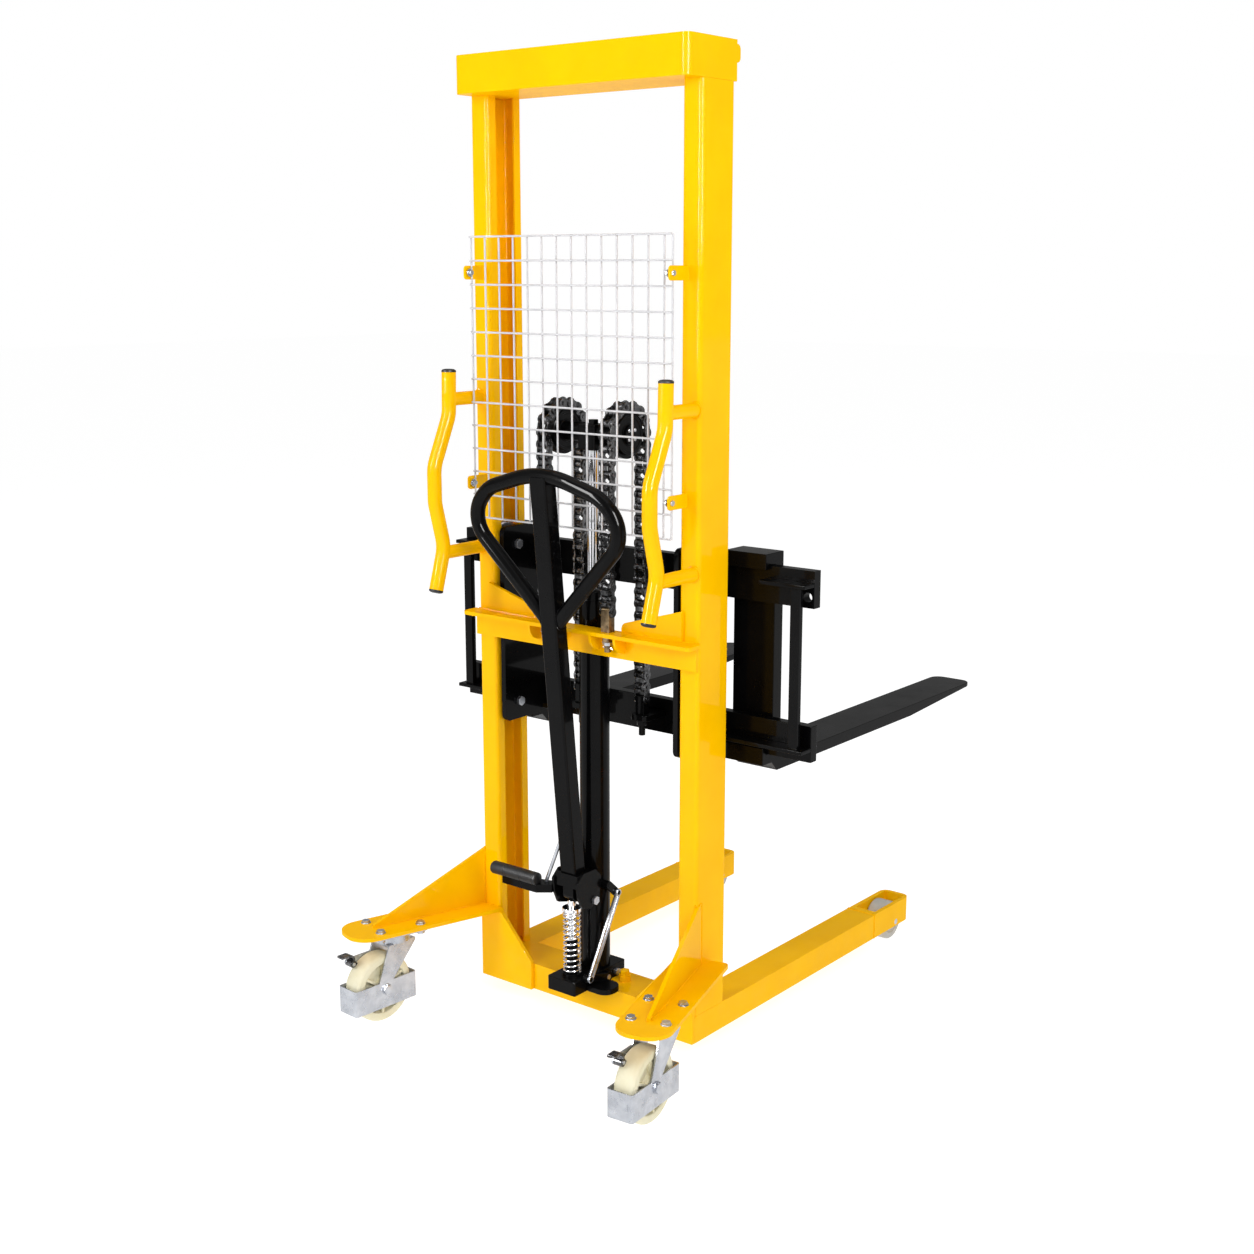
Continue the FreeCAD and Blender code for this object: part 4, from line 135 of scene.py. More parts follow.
@dataclass
class Graph:
    """A thin helper that adds and joins nodes in one node tree."""

    tree: bpy.types.NodeTree

    def add(self, kind: str, **values: object) -> bpy.types.Node:
        """Add a node and set its properties and input values.

        Args:
            kind: the node's type name.
            values: properties by attribute name, or inputs by socket name with spaces as underscores.

        Returns:
            The new node.
        """
        node = self.tree.nodes.new(kind)
        for key, value in values.items():
            if hasattr(node, key):
                setattr(node, key, value)
            else:
                node.inputs[key.replace("_", " ")].default_value = value
        return node

    def join(self, source: Socket, target: Socket) -> None:
        """Link one socket to another."""
        self.tree.links.new(source, target)

    def maths(self, operation: str, first: object, second: object) -> Socket:
        """Add a Math node.

        Args:
            operation: the Math node's operation.
            first: a socket or a number.
            second: a socket or a number.

        Returns:
            The node's output socket.
        """
        node = self.add("ShaderNodeMath", operation=operation)
        for index, value in enumerate((first, second)):
            if isinstance(value, (int, float)):
                node.inputs[index].default_value = value
            else:
                self.join(value, node.inputs[index])
        return node.outputs[0]

    def spread(self, value: Socket, low: float, high: float, to_low: float = 0.0,
               to_high: float = 1.0) -> Socket:
        """Add a clamped Map Range node and return its result.

        Args:
            value: the socket to map.
            low: the input's lower end.
            high: the input's upper end.
            to_low: the result at the lower end.
            to_high: the result at the upper end.

        Returns:
            The mapped value's socket.
        """
        node = self.add("ShaderNodeMapRange", From_Min=low, From_Max=high, To_Min=to_low, To_Max=to_high)
        self.join(value, node.inputs["Value"])
        return node.outputs["Result"]

    def mix(self, mask: Socket, first: object, second: object) -> Socket:
        """Add a colour Mix node.

        Args:
            mask: the factor's socket.
            first: a colour or a socket for factor 0.
            second: a colour or a socket for factor 1.

        Returns:
            The mixed colour's socket.
        """
        node = self.add("ShaderNodeMix", data_type="RGBA")
        self.join(mask, node.inputs["Factor"])
        for socket, value in ((node.inputs[6], first), (node.inputs[7], second)):
            if isinstance(value, tuple):
                socket.default_value = (*value, 1.0)
            else:
                self.join(value, socket)
        return node.outputs[2]


class SurfaceGroups:
    """The shader node groups that several finishes share."""

    SCRATCH_LAYERS: Tuple[Tuple[float, Triple], ...] = ((0.5, (60.0, 900.0, 18.0)), (1.9, (700.0, 40.0, 22.0)))
    SCRATCH_TILT: float = 0.3
    SCRATCH_CUT: Pair = (0.70, 0.76)
    DUST_HEIGHT: float = 0.30
    DUST_ALOFT: float = 0.18
    DUST_PATCHES: Pair = (0.42, 0.74)

    def __init__(self) -> None:
        """Build every group once."""
        self.grain = self._grain()
        self.wear = self._wear()
        self.spangle = self._spangle()

    @staticmethod
    def _group(name: str, inputs: Iterable[Tuple[str, float]],
               outputs: Iterable[str]) -> Tuple[Graph, bpy.types.Node, bpy.types.Node]:
        """Start a group with float sockets.

        Args:
            name: the group's name.
            inputs: names and default values of the inputs.
            outputs: names of the outputs.

        Returns:
            The group's graph, its input node and its output node.
        """
        tree = bpy.data.node_groups.new(name, "ShaderNodeTree")
        for label, value in inputs:
            socket = tree.interface.new_socket(label, in_out="INPUT", socket_type="NodeSocketFloat")
            socket.default_value = value
        for label in outputs:
            tree.interface.new_socket(label, in_out="OUTPUT", socket_type="NodeSocketFloat")
        graph = Graph(tree)
        return graph, graph.add("NodeGroupInput"), graph.add("NodeGroupOutput")

    def _grain(self) -> bpy.types.NodeTree:
        """Make the group for fine surface relief and slow mottling.

        Returns:
            The group's tree.
        """
        graph, start, end = self._group("fine_relief", [("Grain Scale", 400.0), ("Mottle Scale", 9.0)],
                                        ["Height", "Mottle"])
        place = graph.add("ShaderNodeTexCoord")
        fine = graph.add("ShaderNodeTexNoise", Detail=3.0, Roughness=0.55)
        slow = graph.add("ShaderNodeTexNoise", Detail=4.0, Roughness=0.6)
        for noise, label in ((fine, "Grain Scale"), (slow, "Mottle Scale")):
            graph.join(place.outputs["Object"], noise.inputs["Vector"])
            graph.join(start.outputs[label], noise.inputs["Scale"])
        graph.join(fine.outputs[0], end.inputs["Height"])
        graph.join(slow.outputs[0], end.inputs["Mottle"])
        return graph.tree

    def _wear(self) -> bpy.types.NodeTree:
        """Make the group for hairline scratches, which on the chain also serve as painted glints, and for dust that
        thickens towards the floor.

        Returns:
            The group's tree.
        """
        graph, start, end = self._group("shop_wear", [("Scratch", 0.3), ("Dust", 0.3)], ["Scratch Mask", "Dust Mask"])
        place = graph.add("ShaderNodeTexCoord")
        masks = []
        for turn, stretch in self.SCRATCH_LAYERS:
            mapping = graph.add("ShaderNodeMapping", Rotation=(self.SCRATCH_TILT, turn, turn / 2), Scale=stretch)
            noise = graph.add("ShaderNodeTexNoise", Scale=1.0, Detail=2.0)
            graph.join(place.outputs["Object"], mapping.inputs["Vector"])
            graph.join(mapping.outputs["Vector"], noise.inputs["Vector"])
            masks.append(graph.spread(noise.outputs[0], *self.SCRATCH_CUT))
        both = graph.maths("MAXIMUM", masks[0], masks[1])
        graph.join(graph.maths("MULTIPLY", both, start.outputs["Scratch"]), end.inputs["Scratch Mask"])
        split = graph.add("ShaderNodeSeparateXYZ")
        graph.join(place.outputs["Object"], split.inputs[0])
        low = graph.spread(split.outputs["Z"], self.DUST_HEIGHT, 0.0)
        cloud = graph.add("ShaderNodeTexNoise", Scale=26.0, Detail=5.0, Roughness=0.7)
        graph.join(place.outputs["Object"], cloud.inputs["Vector"])
        patch = graph.spread(cloud.outputs[0], *self.DUST_PATCHES)
        dust = graph.maths("MULTIPLY", graph.maths("ADD", low, self.DUST_ALOFT), patch)
        graph.join(graph.maths("MULTIPLY", dust, start.outputs["Dust"]), end.inputs["Dust Mask"])
        return graph.tree

    def _spangle(self) -> bpy.types.NodeTree:
        """Make the group for the crystal patches of a zinc coat.

        Returns:
            The group's tree.
        """
        graph, start, end = self._group("zinc_spangle", [("Patch Scale", 120.0)], ["Patch", "Edge"])
        place = graph.add("ShaderNodeTexCoord")
        cells = graph.add("ShaderNodeTexVoronoi")
        graph.join(place.outputs["Object"], cells.inputs["Vector"])
        graph.join(start.outputs["Patch Scale"], cells.inputs["Scale"])
        split = graph.add("ShaderNodeSeparateColor")
        graph.join(cells.outputs["Color"], split.inputs[0])
        graph.join(split.outputs[0], end.inputs["Patch"])
        graph.join(cells.outputs["Distance"], end.inputs["Edge"])
        return graph.tree


TONE_SPAN: Pair = (0.35, 0.65)
ROUGHNESS_SPAN: Pair = (0.3, 0.7)
SPANGLE_ROUGHNESS: float = 0.25
DUST_ROUGHNESS: float = 0.35


@dataclass(frozen=True)
class Finish:
    """A surface finish that turns into one material."""

    name: str
    colour: Colour
    deep: Colour
    roughness: Tuple[float, float]
    metallic: float = 0.0
    coat: float = 0.0
    coat_roughness: float = 0.08
    grain_scale: float = 420.0
    mottle_scale: float = 9.0
    relief: float = 0.05
    relief_depth: float = 0.0004
    # scratch strength and colour: real wear, and on the chain partly painted glints
    scratch: float = 0.25
    scratch_and_glint_colour: Colour = (0.6, 0.6, 0.6)
    dust: float = 0.25
    dust_colour: Colour = (0.55, 0.52, 0.47)
    spangle: float = 0.0
    spangle_scale: float = 120.0
    specular: float = 0.5

    def build(self, groups: SurfaceGroups) -> bpy.types.Material:
        """Make the material.

        Args:
            groups: the shared shader groups.

        Returns:
            The finished material.
        """
        material = bpy.data.materials.new(self.name)
        material.use_nodes = True
        material.diffuse_color = (*self.colour, 1.0)
        material.node_tree.nodes.clear()
        graph = Graph(material.node_tree)
        out = graph.add("ShaderNodeOutputMaterial")
        shader = graph.add("ShaderNodeBsdfPrincipled", Metallic=self.metallic, Coat_Weight=self.coat,
                           Coat_Roughness=self.coat_roughness, Specular_IOR_Level=self.specular)
        grain = graph.add("ShaderNodeGroup", node_tree=groups.grain, Grain_Scale=self.grain_scale,
                          Mottle_Scale=self.mottle_scale)
        wear = graph.add("ShaderNodeGroup", node_tree=groups.wear, Scratch=self.scratch, Dust=self.dust)
        tone = graph.spread(grain.outputs["Mottle"], *TONE_SPAN)
        colour = graph.mix(tone, self.deep, self.colour)
        rough = graph.spread(grain.outputs["Mottle"], *ROUGHNESS_SPAN, *self.roughness)
        if self.spangle > 0.0:
            cells = graph.add("ShaderNodeGroup", node_tree=groups.spangle, Patch_Scale=self.spangle_scale)
            patch = graph.maths("MULTIPLY", cells.outputs["Patch"], self.spangle)
            colour = graph.mix(patch, colour, self.deep)
            rough = graph.maths("ADD", rough, graph.maths("MULTIPLY", patch, SPANGLE_ROUGHNESS))
        # scratches in their own colour; the chain's light streaks are partly real wear and partly painted glints
        colour = graph.mix(wear.outputs["Scratch Mask"], colour, self.scratch_and_glint_colour)
        colour = graph.mix(wear.outputs["Dust Mask"], colour, self.dust_colour)
        rough = graph.maths("ADD", rough, graph.maths("MULTIPLY", wear.outputs["Dust Mask"], DUST_ROUGHNESS))
        bump = graph.add("ShaderNodeBump", Strength=self.relief, Distance=self.relief_depth)
        graph.join(grain.outputs["Height"], bump.inputs["Height"])
        for label, source in (("Base Color", colour), ("Roughness", rough), ("Normal", bump.outputs["Normal"])):
            graph.join(source, shader.inputs[label])
        graph.join(shader.outputs["BSDF"], out.inputs["Surface"])
        return material


FINISHES: Dict[Slot, Finish] = {
    Slot.YELLOW: Finish("yellow_powder_coat", (0.97, 0.52, 0.0), (0.93, 0.48, 0.0), (0.24, 0.34), specular=0.0,
                        coat=0.20, coat_roughness=0.04, relief=0.18, scratch=0.05,
                        scratch_and_glint_colour=(0.98, 0.58, 0.02), dust=0.02),
    Slot.BLACK: Finish("black_powder_coat", (0.0022, 0.0022, 0.0024), (0.0013, 0.0013, 0.0015), (0.24, 0.36),
                       specular=0.02, coat=0.15, coat_roughness=0.05, relief=0.2, scratch=0.06,
                       scratch_and_glint_colour=(0.04, 0.04, 0.04), dust=0.04, dust_colour=(0.08, 0.075, 0.07)),
    Slot.CHROME: Finish("ground_chrome", (0.80, 0.81, 0.83), (0.72, 0.73, 0.76), (0.08, 0.16), metallic=1.0,
                        grain_scale=1500.0, relief=0.03, scratch=0.05, scratch_and_glint_colour=(0.55, 0.56, 0.58), dust=0.03),
    Slot.ZINC: Finish("bright_zinc", (0.55, 0.57, 0.61), (0.38, 0.40, 0.44), (0.20, 0.32), metallic=0.92,
                      mottle_scale=30.0, relief=0.12, spangle=0.30, spangle_scale=70.0, scratch=0.35,
                      scratch_and_glint_colour=(0.20, 0.21, 0.23), dust=0.08),
    # the chain's dense light scratch streaks are partly real wear and partly painted glints on its plates and rollers
    Slot.CHAIN: Finish("oiled_chain_steel", (0.16, 0.16, 0.165), (0.016, 0.016, 0.016), (0.14, 0.30), metallic=0.9,
                       mottle_scale=110.0, relief=0.3, scratch=0.6, scratch_and_glint_colour=(0.45, 0.45, 0.46), dust=0.03),
    Slot.YELLOW_ZINC: Finish("brown_passivated_zinc", (0.27, 0.19, 0.10), (0.12, 0.085, 0.05), (0.24, 0.44),
                             metallic=0.9, mottle_scale=80.0, relief=0.2, scratch=0.3,
                             scratch_and_glint_colour=(0.50, 0.44, 0.34), dust=0.05),
    Slot.WHITE: Finish("white_dipped_wire", (0.60, 0.60, 0.62), (0.54, 0.54, 0.56), (0.34, 0.48), specular=0.12,
                       relief=0.2, scratch=0.05, dust=0.1),
    Slot.NYLON: Finish("cream_cast_nylon", (0.80, 0.76, 0.57), (0.74, 0.69, 0.48), (0.38, 0.52), specular=0.10,
                       relief=0.3, grain_scale=260.0, mottle_scale=24.0, scratch=0.12,
                       scratch_and_glint_colour=(0.62, 0.56, 0.38), dust=0.22, dust_colour=(0.52, 0.46, 0.34)),
    Slot.GREY_NYLON: Finish("grey_cast_nylon", (0.52, 0.51, 0.47), (0.44, 0.43, 0.39), (0.38, 0.52), specular=0.12,
                            relief=0.3, grain_scale=260.0, mottle_scale=24.0, scratch=0.15,
                            scratch_and_glint_colour=(0.34, 0.33, 0.30), dust=0.2, dust_colour=(0.40, 0.38, 0.34)),
    Slot.PLASTIC: Finish("black_moulded_plastic", (0.010, 0.010, 0.011), (0.006, 0.006, 0.006), (0.34, 0.48),
                         specular=0.3, relief=0.5, grain_scale=900.0, scratch=0.1, scratch_and_glint_colour=(0.05, 0.05, 0.05),
                         dust=0.1, dust_colour=(0.10, 0.095, 0.09)),
}


class Shop:
    """Holds the materials and turns bmeshes into finished pieces."""

    def __init__(self) -> None:
        """Build every finish."""
        groups = SurfaceGroups()
        self.materials = {slot: finish.build(groups) for slot, finish in FINISHES.items()}

    def dress_nodes(self) -> None:
        """Give every CAD node the material of its slot."""
        for entry in frame["record"]["subparts"]:
            mesh = frame["nodes"][entry["node"]].data
            mesh.materials.clear()
            mesh.materials.append(self.materials[Slot(entry["material_slot"])])

    def mesh_object(self, name: str, bm: BMesh, slot: Slot) -> bpy.types.Object:
        """Turn a bmesh into an object at the origin.

        Args:
            name: the piece's name.
            bm: the shape, in metres in the row frame; it is freed.
            slot: the finish.

        Returns:
            The new object, not yet riding on a body.
        """
        mesh = bpy.data.meshes.new(name)
        bm.to_mesh(mesh)
        bm.free()
        mesh.polygons.foreach_set("use_smooth", [True] * len(mesh.polygons))
        mesh.set_sharp_from_angle(angle=math.radians(SMOOTH_ANGLE))
        mesh.materials.append(self.materials[slot])
        thing = bpy.data.objects.new(name, mesh)
        bpy.context.scene.collection.objects.link(thing)
        return thing

    def piece(self, name: str, bm: BMesh, body: str, slot: Slot, stands_for: Sequence[str] = ()) -> bpy.types.Object:
        """Make a piece that rides on one body.

        Args:
            name: the piece's name.
            bm: the shape, in metres in the row frame; it is freed.
            body: the body's name.
            slot: the finish.
            stands_for: CAD nodes that the piece replaces.

        Returns:
            The finished piece.
        """
        thing = self.mesh_object(name, bm, slot)
        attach(thing, body)
        if stands_for:
            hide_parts(*stands_for)
        log.info("%s: %d faces on %s", name, len(thing.data.polygons), body)
        return thing

    def stretched(self, name: str, bm: BMesh, bodies: Tuple[Body, Body], start: Vector, end: Vector, slot: Slot,
                  stands_for: str) -> None:
        """Make a piece with its shape baked in place, hiding the CAD node that it replaces; it rides on no body.

        Args:
            name: the piece's name.
            bm: the shape, in metres in the row frame; it is freed.
            bodies: not used.
            start: not used.
            end: not used.
            slot: the finish.
            stands_for: the CAD node that the piece replaces.
        """
        thing = self.mesh_object(name, bm, slot)
        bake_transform(thing)
        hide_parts(stands_for)

    def soften(self, node: str, slot: Slot, width: float, name: str = "",
               keep: Optional[Callable[[Vector], bool]] = None, inside: bool = True,
               ease: Triple = (0.0, 0.0, 0.0)) -> None:
        """Replace a CAD node, or some of its loose parts, by a copy whose hard edges are rounded.

        Args:
            node: the CAD node.
            slot: the finish.
            width: the rounding's width in millimetres; 0 only shades the copy smooth.
            name: the piece's name, where it isn't the node's.
            keep: tests the middle of each loose part, in row-frame metres.
            inside: False leaves inside corners sharp, where another piece slides in them.
            ease: moves the copy this far in millimetres off the faces that it slides on.
        """
        bm = bmesh.new()
        bm.from_mesh(frame["nodes"][node].data)
        bmesh.ops.remove_doubles(bm, verts=bm.verts, dist=SAME_POINT)
        if keep:
            drop_parts(bm, keep)
        bmesh.ops.dissolve_limit(bm, angle_limit=math.radians(FLAT_ANGLE), verts=bm.verts, edges=bm.edges)
        if width > 0.0:
            limit = math.radians(SHARP_ANGLE)
            round_edges(bm, [edge for edge in bm.edges if edge.is_manifold and edge.calc_face_angle(0.0) > limit
                             and (inside or edge.is_convex)], width)
        bmesh.ops.translate(bm, verts=bm.verts, vec=Vector(ease) * MM)
        thing = self.piece(name or node + "_shown", bm, body_of_node(node), slot, [node])
        even = thing.modifiers.new("even_shading", "WEIGHTED_NORMAL")
        even.keep_sharp = True


def round_edges(bm: BMesh, edges: Sequence[bmesh.types.BMEdge], width: float) -> None:
    """Round some edges of a mesh by a width in millimetres."""
    bmesh.ops.bevel(bm, geom=edges, offset=width * MM, offset_type="OFFSET", segments=2, profile=0.5,
                    affect="EDGES", clamp_overlap=True, material=-1)


def drop_parts(bm: BMesh, keep: Callable[[Vector], bool]) -> None:
    """Delete the loose parts of a mesh whose middle fails a test.

    Args:
        bm: the mesh.
        keep: returns True for the middle of a part that stays.
    """
    seen = set()
    doomed = []
    for seed in bm.verts:
        if seed in seen:
            continue
        part = [seed]
        seen.add(seed)
        for vert in part:
            for edge in vert.link_edges:
                other = edge.other_vert(vert)
                if other not in seen:
                    seen.add(other)
                    part.append(other)
        if not keep(sum((vert.co for vert in part), Vector()) / len(part)):
            doomed += part
    bmesh.ops.delete(bm, geom=doomed, context="VERTS")


def add_copies(target: BMesh, source: BMesh, places: Iterable[Matrix]) -> None:
    """Add copies of one bmesh to another, then free the first.

    Args:
        target: the bmesh that grows.
        source: the shape to copy.
        places: where the copies go.
    """
    for place in places:
        scratch = bpy.data.meshes.new("scratch")
        source.to_mesh(scratch)
        scratch.transform(place)
        target.from_mesh(scratch)
        bpy.data.meshes.remove(scratch)
    source.free()


def aim(direction: Vector) -> Matrix:
    """Return the rotation that turns +Z to a direction."""
    return Vector((0.0, 0.0, 1.0)).rotation_difference(direction.normalized()).to_matrix().to_4x4()


def lathe(profile: Sequence[Pair], steps: int, place: Optional[Matrix] = None) -> BMesh:
    """Return a turned shape about Z.

    Args:
        profile: radius and height pairs in millimetres, from one end to the other.
        steps: faces round the axis.
        place: where the shape goes, if not on the origin's Z.

    Returns:
        The closed shape.
    """
    bm = bmesh.new()
    verts = [bm.verts.new((radius * MM, 0.0, height * MM)) for radius, height in profile]
    edges = [bm.edges.new(pair) for pair in zip(verts[:-1], verts[1:])]
    bmesh.ops.spin(bm, geom=verts + edges, cent=(0, 0, 0), axis=(0, 0, 1), angle=2 * math.pi, steps=steps,
                   use_merge=True)
    bmesh.ops.remove_doubles(bm, verts=bm.verts, dist=TURN_MERGE)
    bmesh.ops.recalc_face_normals(bm, faces=bm.faces)
    if place is not None:
        bmesh.ops.transform(bm, matrix=place, verts=bm.verts)
    return bm


def mirrored(half: Sequence[Pair]) -> List[Pair]:
    """Return the closed profile whose part below z = 0 is given."""
    return [*half, *((radius, -level) for radius, level in reversed(half)), half[0]]


def faced(points: Iterable[Pair], half: float) -> List[Pair]:
    """Return radius and depth pairs, measured from a lower face at z = -half, as profile points."""
    return [(radius, depth - half) for radius, depth in points]


def inset(radius: float, steps: Iterable[Pair]) -> List[Pair]:
    """Return profile points from pairs of a distance inside a radius and a height."""
    return [(radius - inwards, height) for inwards, height in steps]


def hex_head(flats: float, height: float) -> BMesh:
    """Return a hexagon bolt head with a chamfered crown, standing on z = 0.

    Args:
        flats: the size across flats in millimetres.
        height: the head's height in millimetres.

    Returns:
        The head with a flat washer under it.
    """
    bm = bmesh.new()
    corner = flats / math.sqrt(3.0) * MM
    bmesh.ops.create_cone(bm, cap_ends=True, segments=6, radius1=corner, radius2=corner, depth=height * MM,
                          matrix=Matrix.Translation((0, 0, height / 2 * MM)))
    crown = [edge for edge in bm.edges if all(vert.co.z > height * CROWN_FROM * MM for vert in edge.verts)]
    round_edges(bm, crown, height * CROWN_CHAMFER)
    bore = flats * WASHER_BORE
    washer = [(bore, 0.0), *inset(flats * WASHER_RIM, WASHER_STEPS), (bore, WASHER_STEPS[-1][1])]
    add_copies(bm, lathe(washer, 28), [Matrix()])
    return bm


def rounded_block(size: Triple, edge: float) -> BMesh:
    """Return a block about the origin with rounded edges.

    Args:
        size: the lengths along x, y and z in millimetres.
        edge: the rounding's width in millimetres.

    Returns:
        The block.
    """
    bm = bmesh.new()
    bmesh.ops.create_cube(bm, size=1.0, matrix=Matrix.Diagonal((*(length * MM for length in size), 1.0)))
    round_edges(bm, bm.edges[:], edge)
    return bm


def weld_bead(bm: BMesh, points: Sequence[Vector], radius: float) -> None:
    """Lay a rippled weld bead along a polyline, as overlapping drops.

    Args:
        bm: the mesh that gets the bead.
        points: the bead's path in row-frame metres.
        radius: the bead's radius in millimetres.
    """
    step = radius * BEAD_STEP * MM
    for start, end in zip(points[:-1], points[1:]):
        run = end - start
        count = max(2, int(run.length / step))
        turn = aim(run) @ Matrix.Diagonal((1.0, 1.0, BEAD_SQUASH, 1.0))
        for index in range(count):
            spot = start + run * ((index + 0.5) / count)
            bmesh.ops.create_icosphere(bm, subdivisions=1, radius=radius * MM, matrix=Matrix.Translation(spot) @ turn)


def bent_bar(points: Sequence[Vector], radius: float, segments: int) -> BMesh:
    """Return a round bar along a row of points.

    Args:
        points: the centre line in row-frame metres.
        radius: the bar's radius in millimetres.
        segments: faces round the bar.

    Returns:
        The bar with flat ends.
    """
    bm = bmesh.new()
    direction = points[1] - points[0]
    ring = bmesh.ops.create_circle(bm, segments=segments, radius=radius * MM,
                                   matrix=Matrix.Translation(points[0]) @ aim(direction))["verts"]
    bm.faces.new(ring)
    edges = bm.edges[:]
    for index in range(1, len(points)):
        back = (points[index] - points[index - 1]).normalized()
        ahead = back if index + 1 == len(points) else (points[index + 1] - points[index]).normalized()
        grown = bmesh.ops.extrude_edge_only(bm, edges=edges)["geom"]
        verts = [item for item in grown if isinstance(item, bmesh.types.BMVert)]
        edges = [item for item in grown if isinstance(item, bmesh.types.BMEdge)]
        heading = (back + ahead).normalized()
        swing = direction.normalized().rotation_difference(heading).to_matrix().to_4x4()
        bmesh.ops.translate(bm, verts=verts, vec=points[index] - points[index - 1])
        bmesh.ops.rotate(bm, verts=verts, cent=points[index], matrix=swing)
        direction = heading
    bmesh.ops.holes_fill(bm, edges=edges, sides=0)
    bmesh.ops.recalc_face_normals(bm, faces=bm.faces)
    return bm


def ring_points(centre: Vector, axis: Vector, radius: float) -> Sequence[Vector]:
    """Return a closed row of points round an axis.

    Args:
        centre: the ring's middle in row-frame metres.
        axis: the ring's axis.
        radius: the ring's radius in millimetres.

    Returns:
        The points, the first one repeated at the end.
    """
    turn = Matrix.Translation(centre) @ aim(axis)
    steps = 20
    rim = Vector((radius * MM, 0, 0))
    return [turn @ (Matrix.Rotation(2 * math.pi * step / steps, 4, "Z") @ rim) for step in range(steps + 1)]


@dataclass
class Outrigger:
    """The slanting direction of one outrigger, which its rib, bolts and welds share."""

    side: float
    root_x: float = 298.0
    angle: float = 17.0
    top: float = 205.0

    def point(self, along: float, across: float, level: float) -> Vector:
        """Return a point from the outrigger's own length and width directions.

        Args:
            along: millimetres out from the mast's rear face.
            across: millimetres sideways, outwards.
            level: the height in millimetres.

        Returns:
            The point in row-frame metres.
        """
        sine = math.sin(math.radians(self.angle))
        cosine = math.cos(math.radians(self.angle))
        return at(self.side * (self.root_x + along * sine + across * cosine), across * sine - along * cosine, level)


@dataclass
class Assembly:
    """A sub-assembly of the stacker and the piece maker that it uses."""

    shop: Shop


